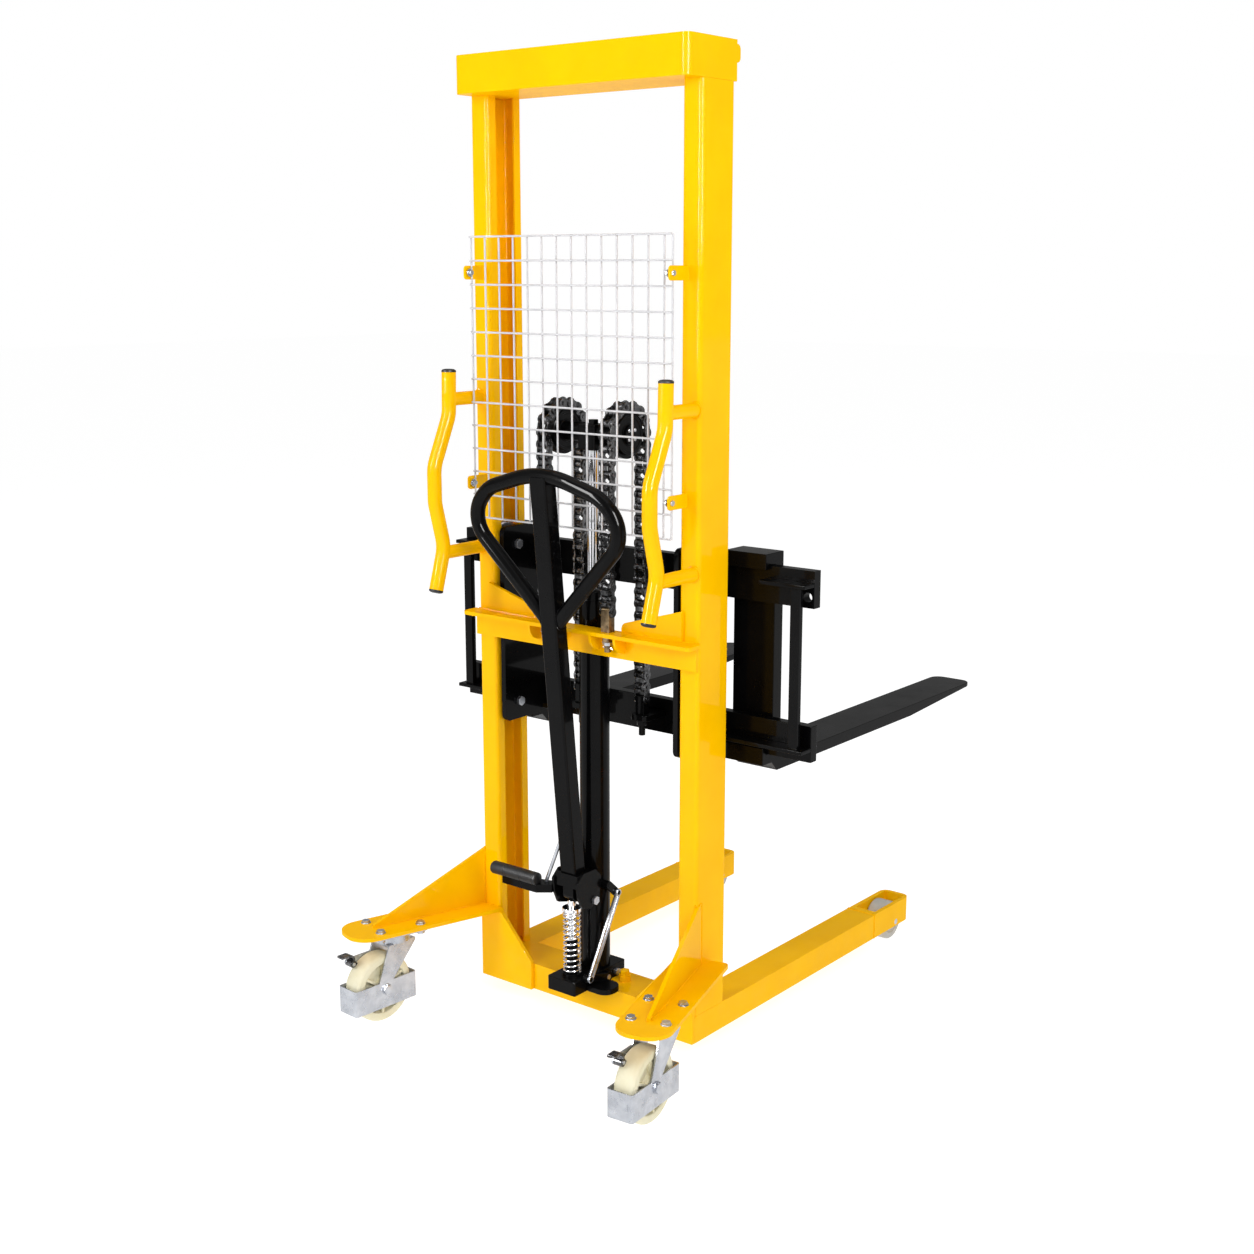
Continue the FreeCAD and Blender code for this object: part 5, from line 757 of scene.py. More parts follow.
@dataclass
class MastFrame(Assembly):
    """The yellow welded frame: mast, base, outriggers, crossbeam and push handles."""

    edge: float = 1.2
    half_width: float = 296.0
    channel_inner: float = 248.0
    channel_depth: float = 104.0
    channel_bend: float = 9.0
    base_top: float = 95.0
    beam_bottom: float = 1954.0
    crossbeam_top: float = 884.0
    crossbeam_plate: float = 8.0
    ear_inner: float = 108.0
    rib_half: float = 4.0
    rib_length: float = 270.0
    rib_top: float = 338.0
    rib_start: float = 4.0
    rib_back: Pair = (-20.0, -2.0)
    handle_x: float = 283.0
    stub_radius: float = 14.0
    stub_levels: Pair = (1342.0, 1022.0)
    stub_proud: float = 0.6
    stub_clear: float = 1.4
    tube_radius: float = 15.0
    handle_tips: Tuple[Tuple[Pair, Pair], ...] = (((-92.0, 1398.0), (-94.0, 1310.0)),
                                                  ((-143.0, 946.0), (-117.0, 1035.0)))
    plug_dome: Tuple[Pair, ...] = ((0.4, 0.0), (-0.3, 0.7), (-0.3, 2.6), (0.8, 4.6), (4.0, 6.2), (8.0, 6.8))
    plug_height: float = 7.0
    washer: Tuple[Pair, ...] = ((5.2, 0.0), (10.6, 0.0), (11.0, 0.4), (11.0, 1.2), (10.6, 1.6), (5.2, 1.6), (5.2, 0.0))
    bolt_along: Pair = (180.0, 276.0)
    bolt_across: float = 36.0
    leg_inner: float = 222.0
    leg_underside: float = 36.0
    leg_length: float = 725.0
    bead: float = 2.4
    fine_bead: float = 2.0
    rib_bead: float = 2.2
    stub_bead: float = 2.8
    leg_bead: float = 2.6
    nodes: Tuple[str, ...] = ("mast_channel_right", "mast_channel_left", "top_beam", "base_crossmember", "leg_right",
                              "leg_left", "base_gussets", "outriggers", "chain_crossbeam")

    def build(self) -> None:
        """Round the frame's edges, lay its weld beads and add its plugs and washers."""
        for node in self.nodes:
            self.shop.soften(node, Slot.YELLOW, self.edge)
        self.shop.soften("push_handles", Slot.YELLOW, 0.0)
        self._welds()
        self._plugs()
        self._washers()

    def _welds(self) -> None:
        """Lay the beads round the channels, the ribs, the crossbeam, the push handles and the legs' noses."""
        bm = bmesh.new()
        for side in SIGNS:
            inner = side * (self.channel_inner + self.channel_bend)
            outer = side * (self.half_width - self.channel_bend)
            for level in (self.base_top, self.beam_bottom):
                for depth in (0.0, self.channel_depth):
                    weld_bead(bm, [at(inner, depth, level), at(outer, depth, level)], self.bead)
            top = self.crossbeam_top
            back = -self.crossbeam_plate
            weld_bead(bm, [at(side * self.half_width, 0, top), at(inner, 0, top)], self.fine_bead)
            weld_bead(bm, [at(inner, back, top), at(side * self.ear_inner, back, top)], self.rib_bead)
            self._rib_welds(bm, Outrigger(side))
            for level in self.stub_levels:
                ring = ring_points(at(side * self.handle_x, -self.stub_proud, level), Vector((0, 1, 0)),
                                   self.stub_radius + self.stub_clear)
                weld_bead(bm, ring, self.stub_bead)
            seam = ((self.half_width, self.leg_underside), (self.half_width, self.base_top),
                    (self.leg_inner, self.base_top), (self.leg_inner, self.leg_underside))
            weld_bead(bm, [at(side * x, self.leg_length, z) for x, z in seam], self.leg_bead)
        self.shop.piece("frame_weld_beads", bm, Body.FRAME.value, Slot.YELLOW)

    def _rib_welds(self, bm: BMesh, outrigger: Outrigger) -> None:
        """Lay the beads of one outrigger's rib.

        Args:
            bm: the mesh that gets the beads.
            outrigger: the outrigger's direction.
        """
        floor = outrigger.top
        half = self.rib_half
        for across in (-half, half):
            weld_bead(bm, [outrigger.point(along, across, floor) for along in (self.rib_start, self.rib_length)],
                      self.fine_bead)
        for along, across in zip(self.rib_back, (half, -half)):
            weld_bead(bm, [outrigger.point(along, across, level) for level in (floor, self.rib_top)], self.rib_bead)

    def _plugs(self) -> None:
        """Turn the domed plugs in the push handles' ends."""
        plug = lathe([(0.0, 0.0), *inset(self.tube_radius, self.plug_dome), (0.0, self.plug_height)], 36)
        places = []
        for x in (-self.handle_x, self.handle_x):
            for tip, before in self.handle_tips:
                places.append(Matrix.Translation(at(x, *tip)) @ aim(at(x, *tip) - at(x, *before)))
        bm = bmesh.new()
        add_copies(bm, plug, places)
        self.shop.piece("handle_plugs", bm, Body.FRAME.value, Slot.PLASTIC, ["push_handle_caps"])

    def _washers(self) -> None:
        """Lay a plain washer under each caster bolt."""
        bm = bmesh.new()
        add_copies(bm, lathe(self.washer, 32), [Matrix.Translation(outrigger.point(along, across, outrigger.top))
                                                for outrigger in map(Outrigger, SIGNS) for along in self.bolt_along
                                                for across in (-self.bolt_across, self.bolt_across)])
        self.shop.piece("caster_bolt_washers", bm, Body.FRAME.value, Slot.ZINC)


@dataclass
class Hardware(Assembly):
    """The plated bolts, pins and rollers, and the grey load rollers in the legs' noses."""

    edge: float = 0.6
    leg_centre: float = 259.0
    roller_y: float = 830.0
    roller_radius: float = 46.0
    roller_half: float = 24.0
    roller_face: Tuple[Pair, ...] = ((7.15, 0.0), (16.0, 0.0), (17.0, 2.0), (29.0, 2.0), (30.5, 0.0))
    roller_rim: Tuple[Pair, ...] = ((5.0, 0.0), (2.2, 0.8), (0.6, 2.6), (0.0, 5.0))
    bolts_from: float = 0.06
    nodes: Tuple[str, ...] = ("load_axles", "mesh_screws", "pivot_pin", "caster_plates", "caster_bolts",
                              "roller_axles", "mast_roller_upper_right", "mast_roller_upper_left",
                              "mast_roller_lower_right", "mast_roller_lower_left")

    def build(self) -> None:
        """Round the fasteners' edges and turn the load rollers."""
        for node in self.nodes:
            self.shop.soften(node, Slot.ZINC, self.edge)
        self.shop.soften("pump_fittings", Slot.ZINC, self.edge, "pump_fittings_shown",
                         lambda middle: abs(middle.x) < self.bolts_from)
        self.shop.soften("pump_fittings", Slot.YELLOW, self.edge, "painted_base_bolts",
                         lambda middle: abs(middle.x) >= self.bolts_from)
        outer = faced([*self.roller_face, *inset(self.roller_radius, self.roller_rim)], self.roller_half)
        for side, sign in SIDES:
            place = Matrix.Translation(at(sign * self.leg_centre, self.roller_y, self.roller_radius)) @ aim(ALONG_X)
            node = "load_roller_" + side
            self.shop.piece("turned_" + node, lathe(mirrored(outer), 56, place), node, Slot.GREY_NYLON, [node])


@dataclass
class Carriage(Assembly):
    """The black fork carriage with its side plates, bars, forks and anchors."""

    edge: float = 1.2
    fork_ease: Triple = (0.0, 0.2, 0.2)
    nodes: Tuple[str, ...] = ("carriage_bar_upper", "carriage_bar_lower", "carriage_struts", "roller_plates",
                              "chain_lower_anchors")

    def build(self) -> None:
        """Round the edges of the carriage and of the forks."""
        for node in self.nodes:
            self.shop.soften(node, Slot.BLACK, self.edge)
        for node in ("fork_right", "fork_left"):
            self.shop.soften(node, Slot.BLACK, self.edge, inside=False, ease=self.fork_ease)


@dataclass
class LiftChains(Assembly):
    """The two roller chains: fixed runs behind, wraps over the wheels and runs down to the carriage."""

    side_x: float = 83.0
    axis_y: float = 36.0
    axis_z: float = 1281.0
    pitch: float = 25.4
    wrap_links: int = 7
    rear_links: int = 14
    front_links: int = 22
    inner_half: float = 8.0
    plate: float = 3.2
    play: float = 0.1
    inner_height: float = 24.0
    outer_height: float = 21.0
    waist: float = 0.80
    waist_sheet: float = 0.9
    roller: float = 15.88
    roller_play: float = 0.4
    pin: float = 8.0
    pin_end: float = 1.8
    group: int = 2
    wheel_half: float = 13.0
    wheel_face: Tuple[Pair, ...] = ((12.15, 0.0), (22.5, 0.0), (23.5, 1.6), (35.0, 1.6), (36.0, 0.0), (41.0, 0.0),
                                    (42.0, 1.0))
    wheel_rim: float = 48.8
    rim_play: float = 0.3
    rim_chamfer: float = 0.6
    disc_face: float = 100.5
    disc_screw: Tuple[Pair, ...] = ((3.6, 0.0), (3.6, 1.0), (2.8, 1.9), (1.4, 2.3), (0.0, 2.4))
    screw_circle: float = 13.0
    flange_under: float = 876.0
    anchor_nut: float = 12.0
    lock_nut: Pair = (19.0, 8.0)
    pin_drop: float = 13.0
    split_pin: Tuple[Pair, ...] = ((-12.0, 0.0), (-6.0, 0.0), (10.0, 0.0), (13.0, -3.0))
    split_pin_radius: float = 1.6
    bolt_edge: float = 0.8
    crosshead_edge: float = 1.0

    @property
    def radius(self) -> float:
        """Return the pitch radius of the wrap."""
        return self.pitch / 2 / math.sin(math.pi / self.wrap_links / 2)

    def link(self, outer: bool) -> BMesh:
        """Return one link that reaches from the origin up Z by one pitch.

        Args:
            outer: True for the outer plates with their pins, False for the inner plates with their rollers.

        Returns:
            The link.
        """
        bm = bmesh.new()
        middle = self.inner_half + self.plate / 2 + (self.plate + self.play if outer else 0.0)
        height = self.outer_height if outer else self.inner_height
        across = Matrix.Rotation(math.pi / 2, 4, "Y")
        for level in (0.0, self.pitch):
            eye = Matrix.Translation((0, 0, level * MM))
            for side in SIGNS:
                self._disc(bm, eye @ Matrix.Translation((side * middle * MM, 0, 0)) @ across, height, self.plate, 18)
            if outer:
                reach = self.inner_half + 2 * self.plate + self.play + self.pin_end
                self._disc(bm, eye @ across, self.pin, 2 * reach, 12)
            else:
                self._disc(bm, eye @ across, self.roller, 2 * self.inner_half - self.roller_play, 14)
        for side in SIGNS:
            waist = Matrix.Translation((side * middle * MM, 0, self.pitch / 2 * MM))
            size = Matrix.Diagonal((self.plate * self.waist_sheet * MM, height * self.waist * MM, self.pitch * MM, 1.0))
            bmesh.ops.create_cube(bm, size=1.0, matrix=waist @ size)
        return bm

    @staticmethod
    def _disc(bm: BMesh, place: Matrix, diameter: float, depth: float, segments: int) -> None:
        """Add one short cylinder along its own Z, with its diameter and depth in millimetres."""
        bmesh.ops.create_cone(bm, cap_ends=True, segments=segments, radius1=diameter / 2 * MM,
                              radius2=diameter / 2 * MM, depth=depth * MM, matrix=place)

    def strand(self, pins: Sequence[Pair], first: int) -> BMesh:
        """Return both chains along a row of pins.

        Args:
            pins: y and z of each pin in millimetres.
            first: the first link's number; even links are outer links.

        Returns:
            The links of both sides.
        """
        places: Tuple[List[Matrix], List[Matrix]] = ([], [])
        for number, (low, high) in enumerate(zip(pins[:-1], pins[1:]), first):
            for x in (-self.side_x, self.side_x):
                start = at(x, *low)
                places[number % 2].append(Matrix.Translation(start) @ aim(at(x, *high) - start))
        bm = bmesh.new()
        add_copies(bm, self.link(True), places[0])
        add_copies(bm, self.link(False), places[1])
        return bm

    def build(self) -> None:
        """Make the wraps and the runs."""
        self.shop.soften("chain_anchor_bolts", Slot.YELLOW_ZINC, self.bolt_edge)
        self.shop.soften("crosshead", Slot.BLACK, self.crosshead_edge)
        self._wheels()
        self._lock_nuts()
        angles = [math.pi - step * math.pi / self.wrap_links for step in range(self.wrap_links + 1)]
        wrap = self.strand([(self.axis_y + self.radius * math.cos(angle), self.axis_z + self.radius * math.sin(angle))
                            for angle in angles], self.rear_links)
        self.shop.piece("chain_over_wheels", wrap, Body.LIFT.value, Slot.CHAIN, ["chain_wraps"])
        self._run("chain_rear", self.axis_y - self.radius, self.rear_links, Body.FRAME)
        self._run("chain_front", self.axis_y + self.radius, self.front_links, Body.CARRIAGE)

    def _wheels(self) -> None:
        """Turn the two chain wheels and set the screws of their end discs."""
        shoulder = self.wheel_face[-1][0]
        chamfer = self.rim_chamfer
        rim = [(shoulder, 0.0), (self.wheel_rim - chamfer, 0.0), (self.wheel_rim, chamfer)]
        outer = faced(self.wheel_face, self.wheel_half) + faced(rim, self.inner_half - self.rim_play)
        places = []
        for side, sign in SIDES:
            place = Matrix.Translation(at(sign * self.side_x, self.axis_y, self.axis_z)) @ aim(ALONG_X)
            node = "chain_wheel_" + side
            self.shop.piece("turned_" + node, lathe(mirrored(outer), 64, place), node, Slot.BLACK, [node])
            for corner in range(4):
                angle = math.pi / 4 + corner * math.pi / 2
                spot = at(sign * self.disc_face, self.axis_y + self.screw_circle * math.cos(angle),
                          self.axis_z + self.screw_circle * math.sin(angle))
                places.append(Matrix.Translation(spot) @ aim(Vector((sign, 0, 0))))
        screws = bmesh.new()
        add_copies(screws, lathe(self.disc_screw, 14), places)
        self.shop.piece("wheel_disc_screws", screws, Body.LIFT.value, Slot.ZINC)

    def _lock_nuts(self) -> None:
        """Screw a plated lock nut and a split pin under each chain anchor."""
        bm = bmesh.new()
        y = self.axis_y - self.radius
        seat = self.flange_under - self.anchor_nut
        level = seat - self.pin_drop
        down = Matrix.Rotation(math.pi, 4, "X")
        for x in (-self.side_x, self.side_x):
            add_copies(bm, hex_head(*self.lock_nut), [Matrix.Translation(at(x, y, seat)) @ down])
            path = [at(x + along, y, level + rise) for along, rise in self.split_pin]
            add_copies(bm, bent_bar(path, self.split_pin_radius, 8), [Matrix()])
        self.shop.piece("anchor_lock_nuts", bm, Body.FRAME.value, Slot.ZINC)

    @staticmethod
    def _eased_place(share: float) -> float:
        """Return where along a blend, which eases in and out, this share of the motion is reached."""
        return 0.5 - math.sin(math.asin(1.0 - 2.0 * share) / 3.0)

    def _run(self, name: str, y: float, links: int, foot_body: Body) -> None:
        """Make one run in groups of links, each group a piece of its own; its share of the travel is worked out but
        nothing stretches it.

        Args:
            name: the pieces' name; the CAD node that they stand for adds _runs to it.
            y: the run's y in millimetres.
            links: how many links the run has.
            foot_body: the body named for the lower end; it is only passed on, with the lift, and nothing attaches the
                run to either.
        """
        foot = self.axis_z - links * self.pitch
        for number, first in enumerate(range(0, links, self.group)):
            last = min(first + self.group, links)
            pins = [(y, foot + index * self.pitch) for index in range(first, last + 1)]
            low, high = (self._eased_place(share / links) for share in (first, last))
            span = (last - first) * self.pitch / (high - low)
            start = foot + first * self.pitch - low * span
            self.shop.stretched(f"{name}_{number + 1:02d}", self.strand(pins, first), (foot_body, Body.LIFT),
                                at(0, y, start), at(0, y, start + span), Slot.CHAIN, name + "_runs")


@dataclass
class PumpUnit(Assembly):
    """The hand pump: block, plunger, return spring, lever and foot pedal."""

    edge: float = 1.0
    casting_edge: float = 2.5
    spring_y: float = -42.0
    spring_bottom: float = 131.0
    spring_top: float = 269.6
    spring_radius: float = 18.0
    wire: float = 4.5
    closed_pitch: float = 5.2
    open_turns: int = 10
    pedal_y: float = -80.0
    pedal_z: float = 336.0
    pedal_ends: Pair = (-190.0, -62.0)
    pedal_radius: float = 14.0
    pedal_grooves: Tuple[float, ...] = (0.30, 0.34, 0.66, 0.94)
    groove: Tuple[Pair, ...] = ((0.0, -1.2), (0.9, -0.6), (0.9, 0.6), (0.0, 1.2))
    grip_end: Tuple[Pair, ...] = ((3.0, 0.0), (0.8, 1.2), (0.0, 3.5))
    gland_top: float = 954.0
    ram_y: float = 36.0
    ram_radius: float = 14.0
    ram_clear: float = 0.3
    wiper: Tuple[Pair, ...] = ((0.0, 0.0), (-9.0, 0.0), (-9.0, 2.0), (-7.0, 3.0), (-3.0, 3.4), (-1.0, 5.0), (0.0, 5.0),
                               (0.0, 0.0))
    brace_level: float = 0.35
    link_x: float = 53.6
    link_top: Pair = (48.0, 296.0)
    link_foot: Pair = (-46.0, 128.0)
    link_width: float = 15.0
    link_sheet: float = 6.0
    link_web: float = 2.5
    web_inset: float = 1.0
    web_edge: float = 0.6
    link_rib: float = 4.0
    rib_edge: float = 1.2
    link_eye: float = 8.0
    link_bore: float = 5.2
    eye_chamfer: float = 0.7
    tiller_foot: Pair = (-38.0, 356.0)
    tiller_lean: float = 5.8
    tiller_half: float = 21.0
    loop_foot: float = 561.0
    loop_radius: float = 15.5
    loop_bead: float = 2.2
    loop_clear: float = 0.6
    loop_proud: float = 0.4
    nodes: Tuple[str, ...] = ("pump_block", "pivot_lug", "pump_lever", "release_arm", "cylinder_gland", "tiller_bar",
                              "lift_cylinder")

    def build(self) -> None:
        """Round the castings and make the spring, the pedal grip, the wiper, the release link and the loop's welds."""
        for node in self.nodes:
            self.shop.soften(node, Slot.BLACK, self.edge)
        self.shop.soften("valve_lever", Slot.BLACK, self.casting_edge)
        self.shop.soften("tiller_loop", Slot.BLACK, 0.0)
        self.shop.soften("lift_ram", Slot.CHROME, 0.0)
        self.shop.soften("pump_plunger", Slot.CHROME, self.edge)
        self.shop.soften("pedal_arm", Slot.BLACK, self.casting_edge, "pedal_arm_shown",
                         lambda middle: middle.z < self.brace_level)
        self.shop.soften("pedal_arm", Slot.ZINC, 0.0, "pedal_brace", lambda middle: middle.z >= self.brace_level)
        self._spring()
        self._pedal()
        self._wiper()
        self._link()
        self._loop_welds()

    def _spring(self) -> None:
        """Wind the return spring with one closed turn at each end."""
        bm = bmesh.new()
        low = self.spring_bottom + self.wire / 2
        place = Matrix.Translation((self.spring_radius * MM, 0, low * MM)) @ Matrix.Rotation(math.pi / 2, 4, "X")
        bmesh.ops.create_circle(bm, cap_ends=True, segments=12, radius=self.wire / 2 * MM, matrix=place)
        geom = list(bm.faces)
        rise = self.spring_top - self.spring_bottom - self.wire - 2 * self.closed_pitch
        steps = 24
        for turns, pitch in ((1, self.closed_pitch), (self.open_turns, rise / self.open_turns), (1, self.closed_pitch)):
            grown = bmesh.ops.spin(bm, geom=geom, cent=(0, 0, 0), axis=(0, 0, 1), dvec=(0, 0, pitch / steps * MM),
                                   angle=2 * math.pi * turns, steps=steps * turns)
            geom = grown["geom_last"]
        bmesh.ops.remove_doubles(bm, verts=bm.verts, dist=COIL_MERGE)
        bmesh.ops.recalc_face_normals(bm, faces=bm.faces)
        bmesh.ops.translate(bm, verts=bm.verts, vec=at(0, self.spring_y, 0))
        self.shop.stretched("return_spring", bm, (Body.FRAME, Body.PLUNGER),
                            at(0, self.spring_y, self.spring_bottom + self.wire),
                            at(0, self.spring_y, self.spring_top - self.wire), Slot.CHROME, "pump_spring")

    def _link(self) -> None:
        """Press the release link from a strap with two raised ribs and a bored eye at each end."""
        top = at(self.link_x, *self.link_top)
        foot = at(self.link_x, *self.link_foot)
        run = top - foot
        place = Matrix.Translation((top + foot) / 2) @ aim(run)
        length = run.length / MM - 2 * self.link_bore
        offset = (self.link_width - self.link_rib) / 2 * MM
        bm = bmesh.new()
        add_copies(bm, rounded_block((self.link_web, self.link_width - self.web_inset, length), self.web_edge), [place])
        add_copies(bm, rounded_block((self.link_sheet, self.link_rib, length), self.rib_edge),
                   [place @ Matrix.Translation((0, side * offset, 0)) for side in SIGNS])
        rim = inset(self.link_eye, ((self.eye_chamfer, 0.0), (0.0, self.eye_chamfer)))
        eye = faced([(self.link_bore, 0.0), *rim], self.link_sheet / 2)
        add_copies(bm, lathe(mirrored(eye), 32), [Matrix.Translation(end) @ aim(ALONG_X) for end in (top, foot)])
        self.shop.piece("flat_release_link", bm, Body.RELEASE_LINK.value, Slot.ZINC, ["release_link"])

    def _loop_welds(self) -> None:
        """Lay the beads where the loop's ends meet the tiller bar."""
        lean = Matrix.Translation(at(0, *self.tiller_foot)) @ Matrix.Rotation(math.radians(self.tiller_lean), 4, "X")
        stretch = Matrix.Diagonal((1.0, 1.0, math.sqrt(2.0), 1.0))
        ring = ring_points(Vector(), ALONG_X, self.loop_radius + self.loop_clear)
        bm = bmesh.new()
        for side in SIGNS:
            oval = Matrix.Translation((side * (self.tiller_half + self.loop_proud) * MM, 0, self.loop_foot * MM))
            weld_bead(bm, [lean @ oval @ stretch @ point for point in ring], self.loop_bead)
        self.shop.piece("loop_weld_beads", bm, Body.TILLER.value, Slot.BLACK)

    def _pedal(self) -> None:
        """Turn the moulded grip of the foot pedal with its grooves."""
        length = self.pedal_ends[1] - self.pedal_ends[0]
        end = inset(self.pedal_radius, self.grip_end)
        profile = [(0.0, 0.0), *end]
        for share in self.pedal_grooves:
            profile += inset(self.pedal_radius, [(depth, length * share + along) for depth, along in self.groove])
        profile += [*((radius, length - along) for radius, along in reversed(end)), (0.0, length)]
        place = Matrix.Translation(at(self.pedal_ends[0], self.pedal_y, self.pedal_z)) @ aim(ALONG_X)
        self.shop.piece("pedal_grip", lathe(profile, 40, place), Body.TILLER.value, Slot.PLASTIC, ["pedal_roll"])

    def _wiper(self) -> None:
        """Turn the wiper ring that seals the ram at the gland."""
        profile = inset(self.ram_radius + self.ram_clear, self.wiper)
        ring = lathe(profile, 40, Matrix.Translation(at(0, self.ram_y, self.gland_top)))
        self.shop.piece("ram_wiper", ring, Body.FRAME.value, Slot.PLASTIC)


@dataclass
class Caster(Assembly):
    """One braked swivel caster with its cast wheel, zinc fork and toe guard."""

    side: str
    swivel: Triple
    plate_under: float = 192.0
    web_top: float = 171.0
    dome_play: float = 0.6
    dome_lift: float = 0.1
    dome_bore: float = 14.0
    dome_foot: Tuple[Pair, ...] = ((36.0, 0.0), (36.5, 0.8), (34.0, 3.0))
    dome_flank: Tuple[Pair, ...] = ((27.0, 0.45), (22.0, 0.75))
    dome_crown: Tuple[Pair, ...] = ((21.0, 1.0), (20.0, 0.0), (14.0, 0.0))
    radius: float = 75.0
    half_width: float = 23.0
    rim: float = 56.0
    hub: float = 23.0
    bore: float = 6.1
    tread_round: Tuple[Pair, ...] = ((7.0, 0.0), (3.5, 1.2), (1.2, 3.6), (0.0, 7.5))
    disc_half: float = 11.0
    spokes: int = 6
    spoke_width: float = 6.0
    spoke_edge: float = 1.2
    leg_face: float = 30.0
    axle_head: Pair = (19.8, 6.6)
    edge: float = 0.7

    def build(self) -> None:
        """Make the wheel, the swivel head and the sheet-metal parts."""
        low, high = (Vector(corner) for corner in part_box(f"caster_wheel_{self.side}"))
        centre = (low + high) / 2
        heading = centre - at(*self.swivel)
        heading.z = 0.0
        place = Matrix.Translation(centre) @ aim(heading.cross(Vector((0, 0, 1))))
        self._wheel(place)
        self._head()
        self.shop.soften(f"caster_fork_{self.side}", Slot.ZINC, self.edge)
        self.shop.soften(f"caster_brake_{self.side}", Slot.CHAIN, self.edge)
        self._axle_heads(place)

    def _wheel(self, place: Matrix) -> None:
        """Turn the cast wheel, set its spokes and press in its bearing seals.

        Args:
            place: the wheel's middle, with Z along its axle.
        """
        half, disc = self.half_width, self.disc_half
        hub, rim = self.hub, self.rim
        outer = [(self.bore, -half), (hub - 2, -half), (hub, -half + 1.5), (hub + 1.5, -disc - 1), (hub + 3, -disc),
                 (rim - 3, -disc), (rim - 1, -disc - 1.5), (rim, -half + 1.5), (rim + 2, -half),
                 *faced(inset(self.radius, self.tread_round), half)]
        bm = lathe(mirrored(outer), 72)
        depth = half - disc - 2.5
        turns = [Matrix.Rotation(2 * math.pi * index / self.spokes, 4, "Z") for index in range(self.spokes)]
        middles = [Matrix.Translation(Vector(((hub + rim) / 2, 0, face * (disc + depth / 2))) * MM) for face in SIGNS]
        add_copies(bm, rounded_block((rim - hub + 1, self.spoke_width, depth + 1), self.spoke_edge),
                   [turn @ middle for turn in turns for middle in middles])
        bmesh.ops.transform(bm, matrix=place, verts=bm.verts)
        body = f"caster_wheel_{self.side}"
        self.shop.piece(f"cast_wheel_{self.side}", bm, body, Slot.NYLON, [body])
        seals = bmesh.new()
        low, high = self.bore + 1, hub - 6
        ring = lathe([(low, 0.0), (high, 0.0), (high, 0.8), (high - 1, 1.2), (low + 1, 1.2), (low, 0.8),
                      (low, 0.0)], 36)
        add_copies(seals, ring, [place @ Matrix.Translation((0, 0, face * half * MM)) @ aim(Vector((0, OFF_AXIS, face)))
                                 for face in SIGNS])
        self.shop.piece(f"bearing_seals_{self.side}", seals, body, Slot.PLASTIC)

    def _axle_heads(self, place: Matrix) -> None:
        """Set the axle bolt's head and nut with their washers on the fork's legs.

        Args:
            place: the wheel's middle, with Z along its axle.
        """
        bm = bmesh.new()
        ends = [Matrix.Translation((0, 0, face * self.leg_face * MM)) @ Matrix.Rotation(turn, 4, "X")
                for face, turn in zip(SIGNS, (math.pi, 0.0))]
        add_copies(bm, hex_head(*self.axle_head), [place @ end for end in ends])
        self.shop.piece(f"axle_heads_{self.side}", bm, f"caster_{self.side}", Slot.ZINC)

    def _head(self) -> None:
        """Turn the pressed dome that covers the swivel's ball race."""
        gap = self.plate_under - self.web_top - self.dome_play
        foot = (self.dome_bore, 0.0)
        profile = [foot, *self.dome_foot, *((radius, gap * share) for radius, share in self.dome_flank),
                   *((radius, gap - drop) for radius, drop in self.dome_crown), foot]
        place = Matrix.Translation(at(self.swivel[0], self.swivel[1], self.web_top + self.dome_lift))
        self.shop.piece(f"swivel_dome_{self.side}", lathe(profile, 48, place), f"caster_{self.side}", Slot.CHAIN)


@dataclass(frozen=True)
class SoftBox:
    """One rectangular studio light."""

    name: str
    spot: Triple
    size: Pair
    power: float
    gloss_only: bool = False

    def build(self, target: Vector) -> None:
        """Hang the light.

        Args:
            target: the point that the light faces.
        """
        data = bpy.data.lights.new("soft_" + self.name, "AREA")
        data.shape = "RECTANGLE"
        data.size, data.size_y = self.size
        data.energy = self.power
        lamp = bpy.data.objects.new("soft_" + self.name, data)
        lamp.visible_camera = False
        lamp.visible_diffuse = not self.gloss_only
        place = at(*self.spot)
        turn = (place - target).to_track_quat("Z", "Y").to_matrix().to_4x4()
        lamp.matrix_world = Matrix.Translation(place) @ turn
        bpy.context.scene.collection.objects.link(lamp)


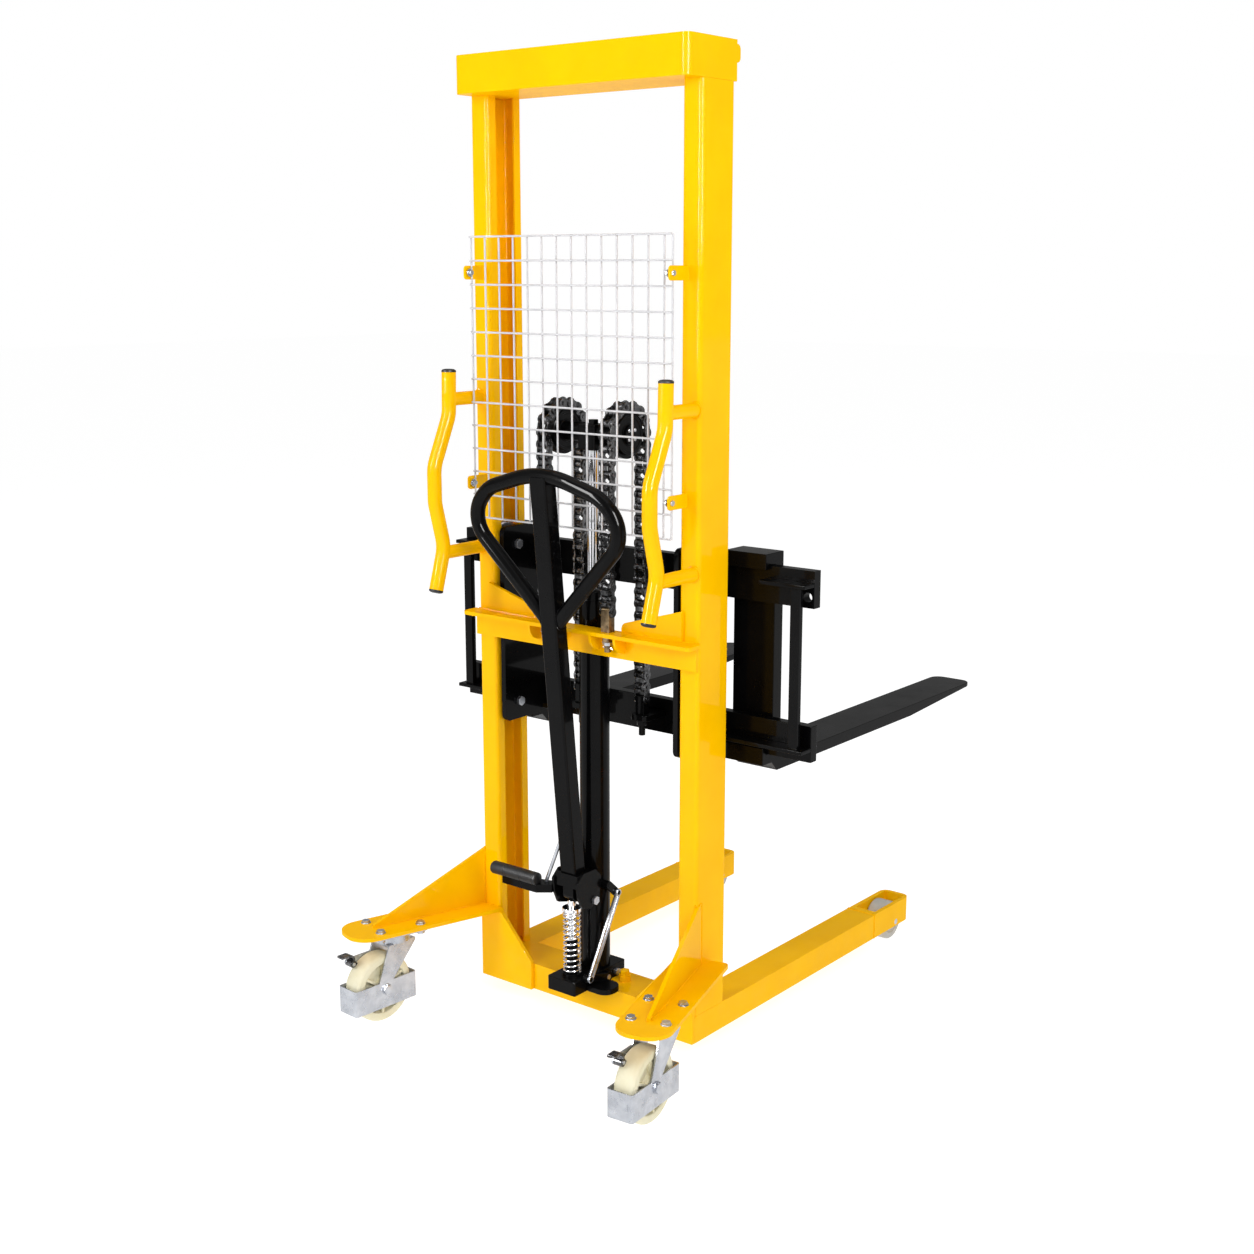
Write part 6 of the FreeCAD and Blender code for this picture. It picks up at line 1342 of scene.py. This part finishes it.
@dataclass
class Studio:
    """The camera, floor, world and lights."""

    camera_at: Triple = (2224.25, -2648.05, 1607.03)
    azimuth: float = 38.52
    elevation: float = 11.88
    focal_pixels: float = 1701.2
    frame_pixels: float = 1254.0
    sensor: float = 36.0
    reach: float = 100.0
    floor_size: float = 30.0
    floor_grey: Colour = (0.42, 0.42, 0.42)
    floor_roughness: float = 0.9
    floor_glow: float = 0.825
    sky: float = 0.40
    lit_point: Triple = (0.0, 200.0, 900.0)
    boxes: Tuple[SoftBox, ...] = (SoftBox("key", (3000, -1700, 2700), (1.0, 2.4), 74.0),
                                  SoftBox("fill", (-1400, -3400, 2300), (0.8, 2.4), 62.0),
                                  SoftBox("top", (0, 400, 4600), (4.0, 4.0), 60.0),
                                  SoftBox("key_shine", (3060, -1740, 2740), (1.0, 2.4), 340.0, True),
                                  SoftBox("fill_shine", (-1420, -3470, 2340), (0.8, 2.4), 270.0, True))

    def build(self) -> None:
        """Place the camera, the pale floor and the soft lights."""
        self._camera()
        self._floor()
        self._lights()

    def _camera(self) -> None:
        """Stand the camera where the photograph was taken."""
        data = bpy.data.cameras.new("photo_camera")
        data.sensor_fit = "HORIZONTAL"
        data.sensor_width = self.sensor
        data.lens = self.focal_pixels / self.frame_pixels * self.sensor
        data.clip_end = self.reach
        camera = bpy.data.objects.new("photo_camera", data)
        turn = math.radians(self.azimuth)
        tilt = math.radians(self.elevation)
        ahead = Vector((-math.sin(turn) * math.cos(tilt), math.cos(turn) * math.cos(tilt), -math.sin(tilt)))
        right = Vector((math.cos(turn), math.sin(turn), 0.0))
        up = right.cross(ahead)
        matrix = Matrix((right, up, -ahead)).transposed().to_4x4()
        matrix.translation = at(*self.camera_at)
        camera.matrix_world = matrix
        bpy.context.scene.collection.objects.link(camera)
        bpy.context.scene.camera = camera

    def _floor(self) -> None:
        """Lay the pale floor."""
        bm = bmesh.new()
        bmesh.ops.create_grid(bm, x_segments=2, y_segments=2, size=self.floor_size)
        mesh = bpy.data.meshes.new("studio_floor")
        bm.to_mesh(mesh)
        bm.free()
        material = bpy.data.materials.new("studio_paper")
        material.use_nodes = True
        shader = material.node_tree.nodes["Principled BSDF"]
        values = {"Base Color": (*self.floor_grey, 1.0), "Roughness": self.floor_roughness, "Specular IOR Level": 0.0,
                  "Emission Color": WHITE_LIGHT, "Emission Strength": self.floor_glow}
        for label, value in values.items():
            shader.inputs[label].default_value = value
        mesh.materials.append(material)
        floor = bpy.data.objects.new("studio_floor", mesh)
        bpy.context.scene.collection.objects.link(floor)

    def _lights(self) -> None:
        """Set the white backdrop, the dimmer sky, two soft boxes, their shine on gloss alone and a top panel."""
        scene = bpy.context.scene
        scene.view_settings.view_transform = "Standard"
        world = bpy.data.worlds.new("studio_white")
        world.use_nodes = True
        world.node_tree.nodes.clear()
        graph = Graph(world.node_tree)
        sky = graph.add("ShaderNodeBackground", Color=WHITE_LIGHT, Strength=self.sky)
        seen = graph.add("ShaderNodeBackground", Color=WHITE_LIGHT, Strength=1.0)
        ray = graph.add("ShaderNodeLightPath")
        choice = graph.add("ShaderNodeMixShader")
        out = graph.add("ShaderNodeOutputWorld")
        for index, source in enumerate((ray.outputs["Is Camera Ray"], sky.outputs[0], seen.outputs[0])):
            graph.join(source, choice.inputs[index])
        graph.join(choice.outputs[0], out.inputs["Surface"])
        scene.world = world
        for box in self.boxes:
            box.build(at(*self.lit_point))


def main() -> None:
    """Build the studio and every sub-assembly in order."""
    shop = Shop()
    shop.dress_nodes()
    Studio().build()
    MastFrame(shop).build()
    Hardware(shop).build()
    Carriage(shop).build()
    LiftChains(shop).build()
    PumpUnit(shop).build()
    for side, sign in SIDES:
        Caster(shop, side, (sign * SWIVEL_X, SWIVEL_Y, 0.0)).build()


if __name__ == "__main__":
    main()
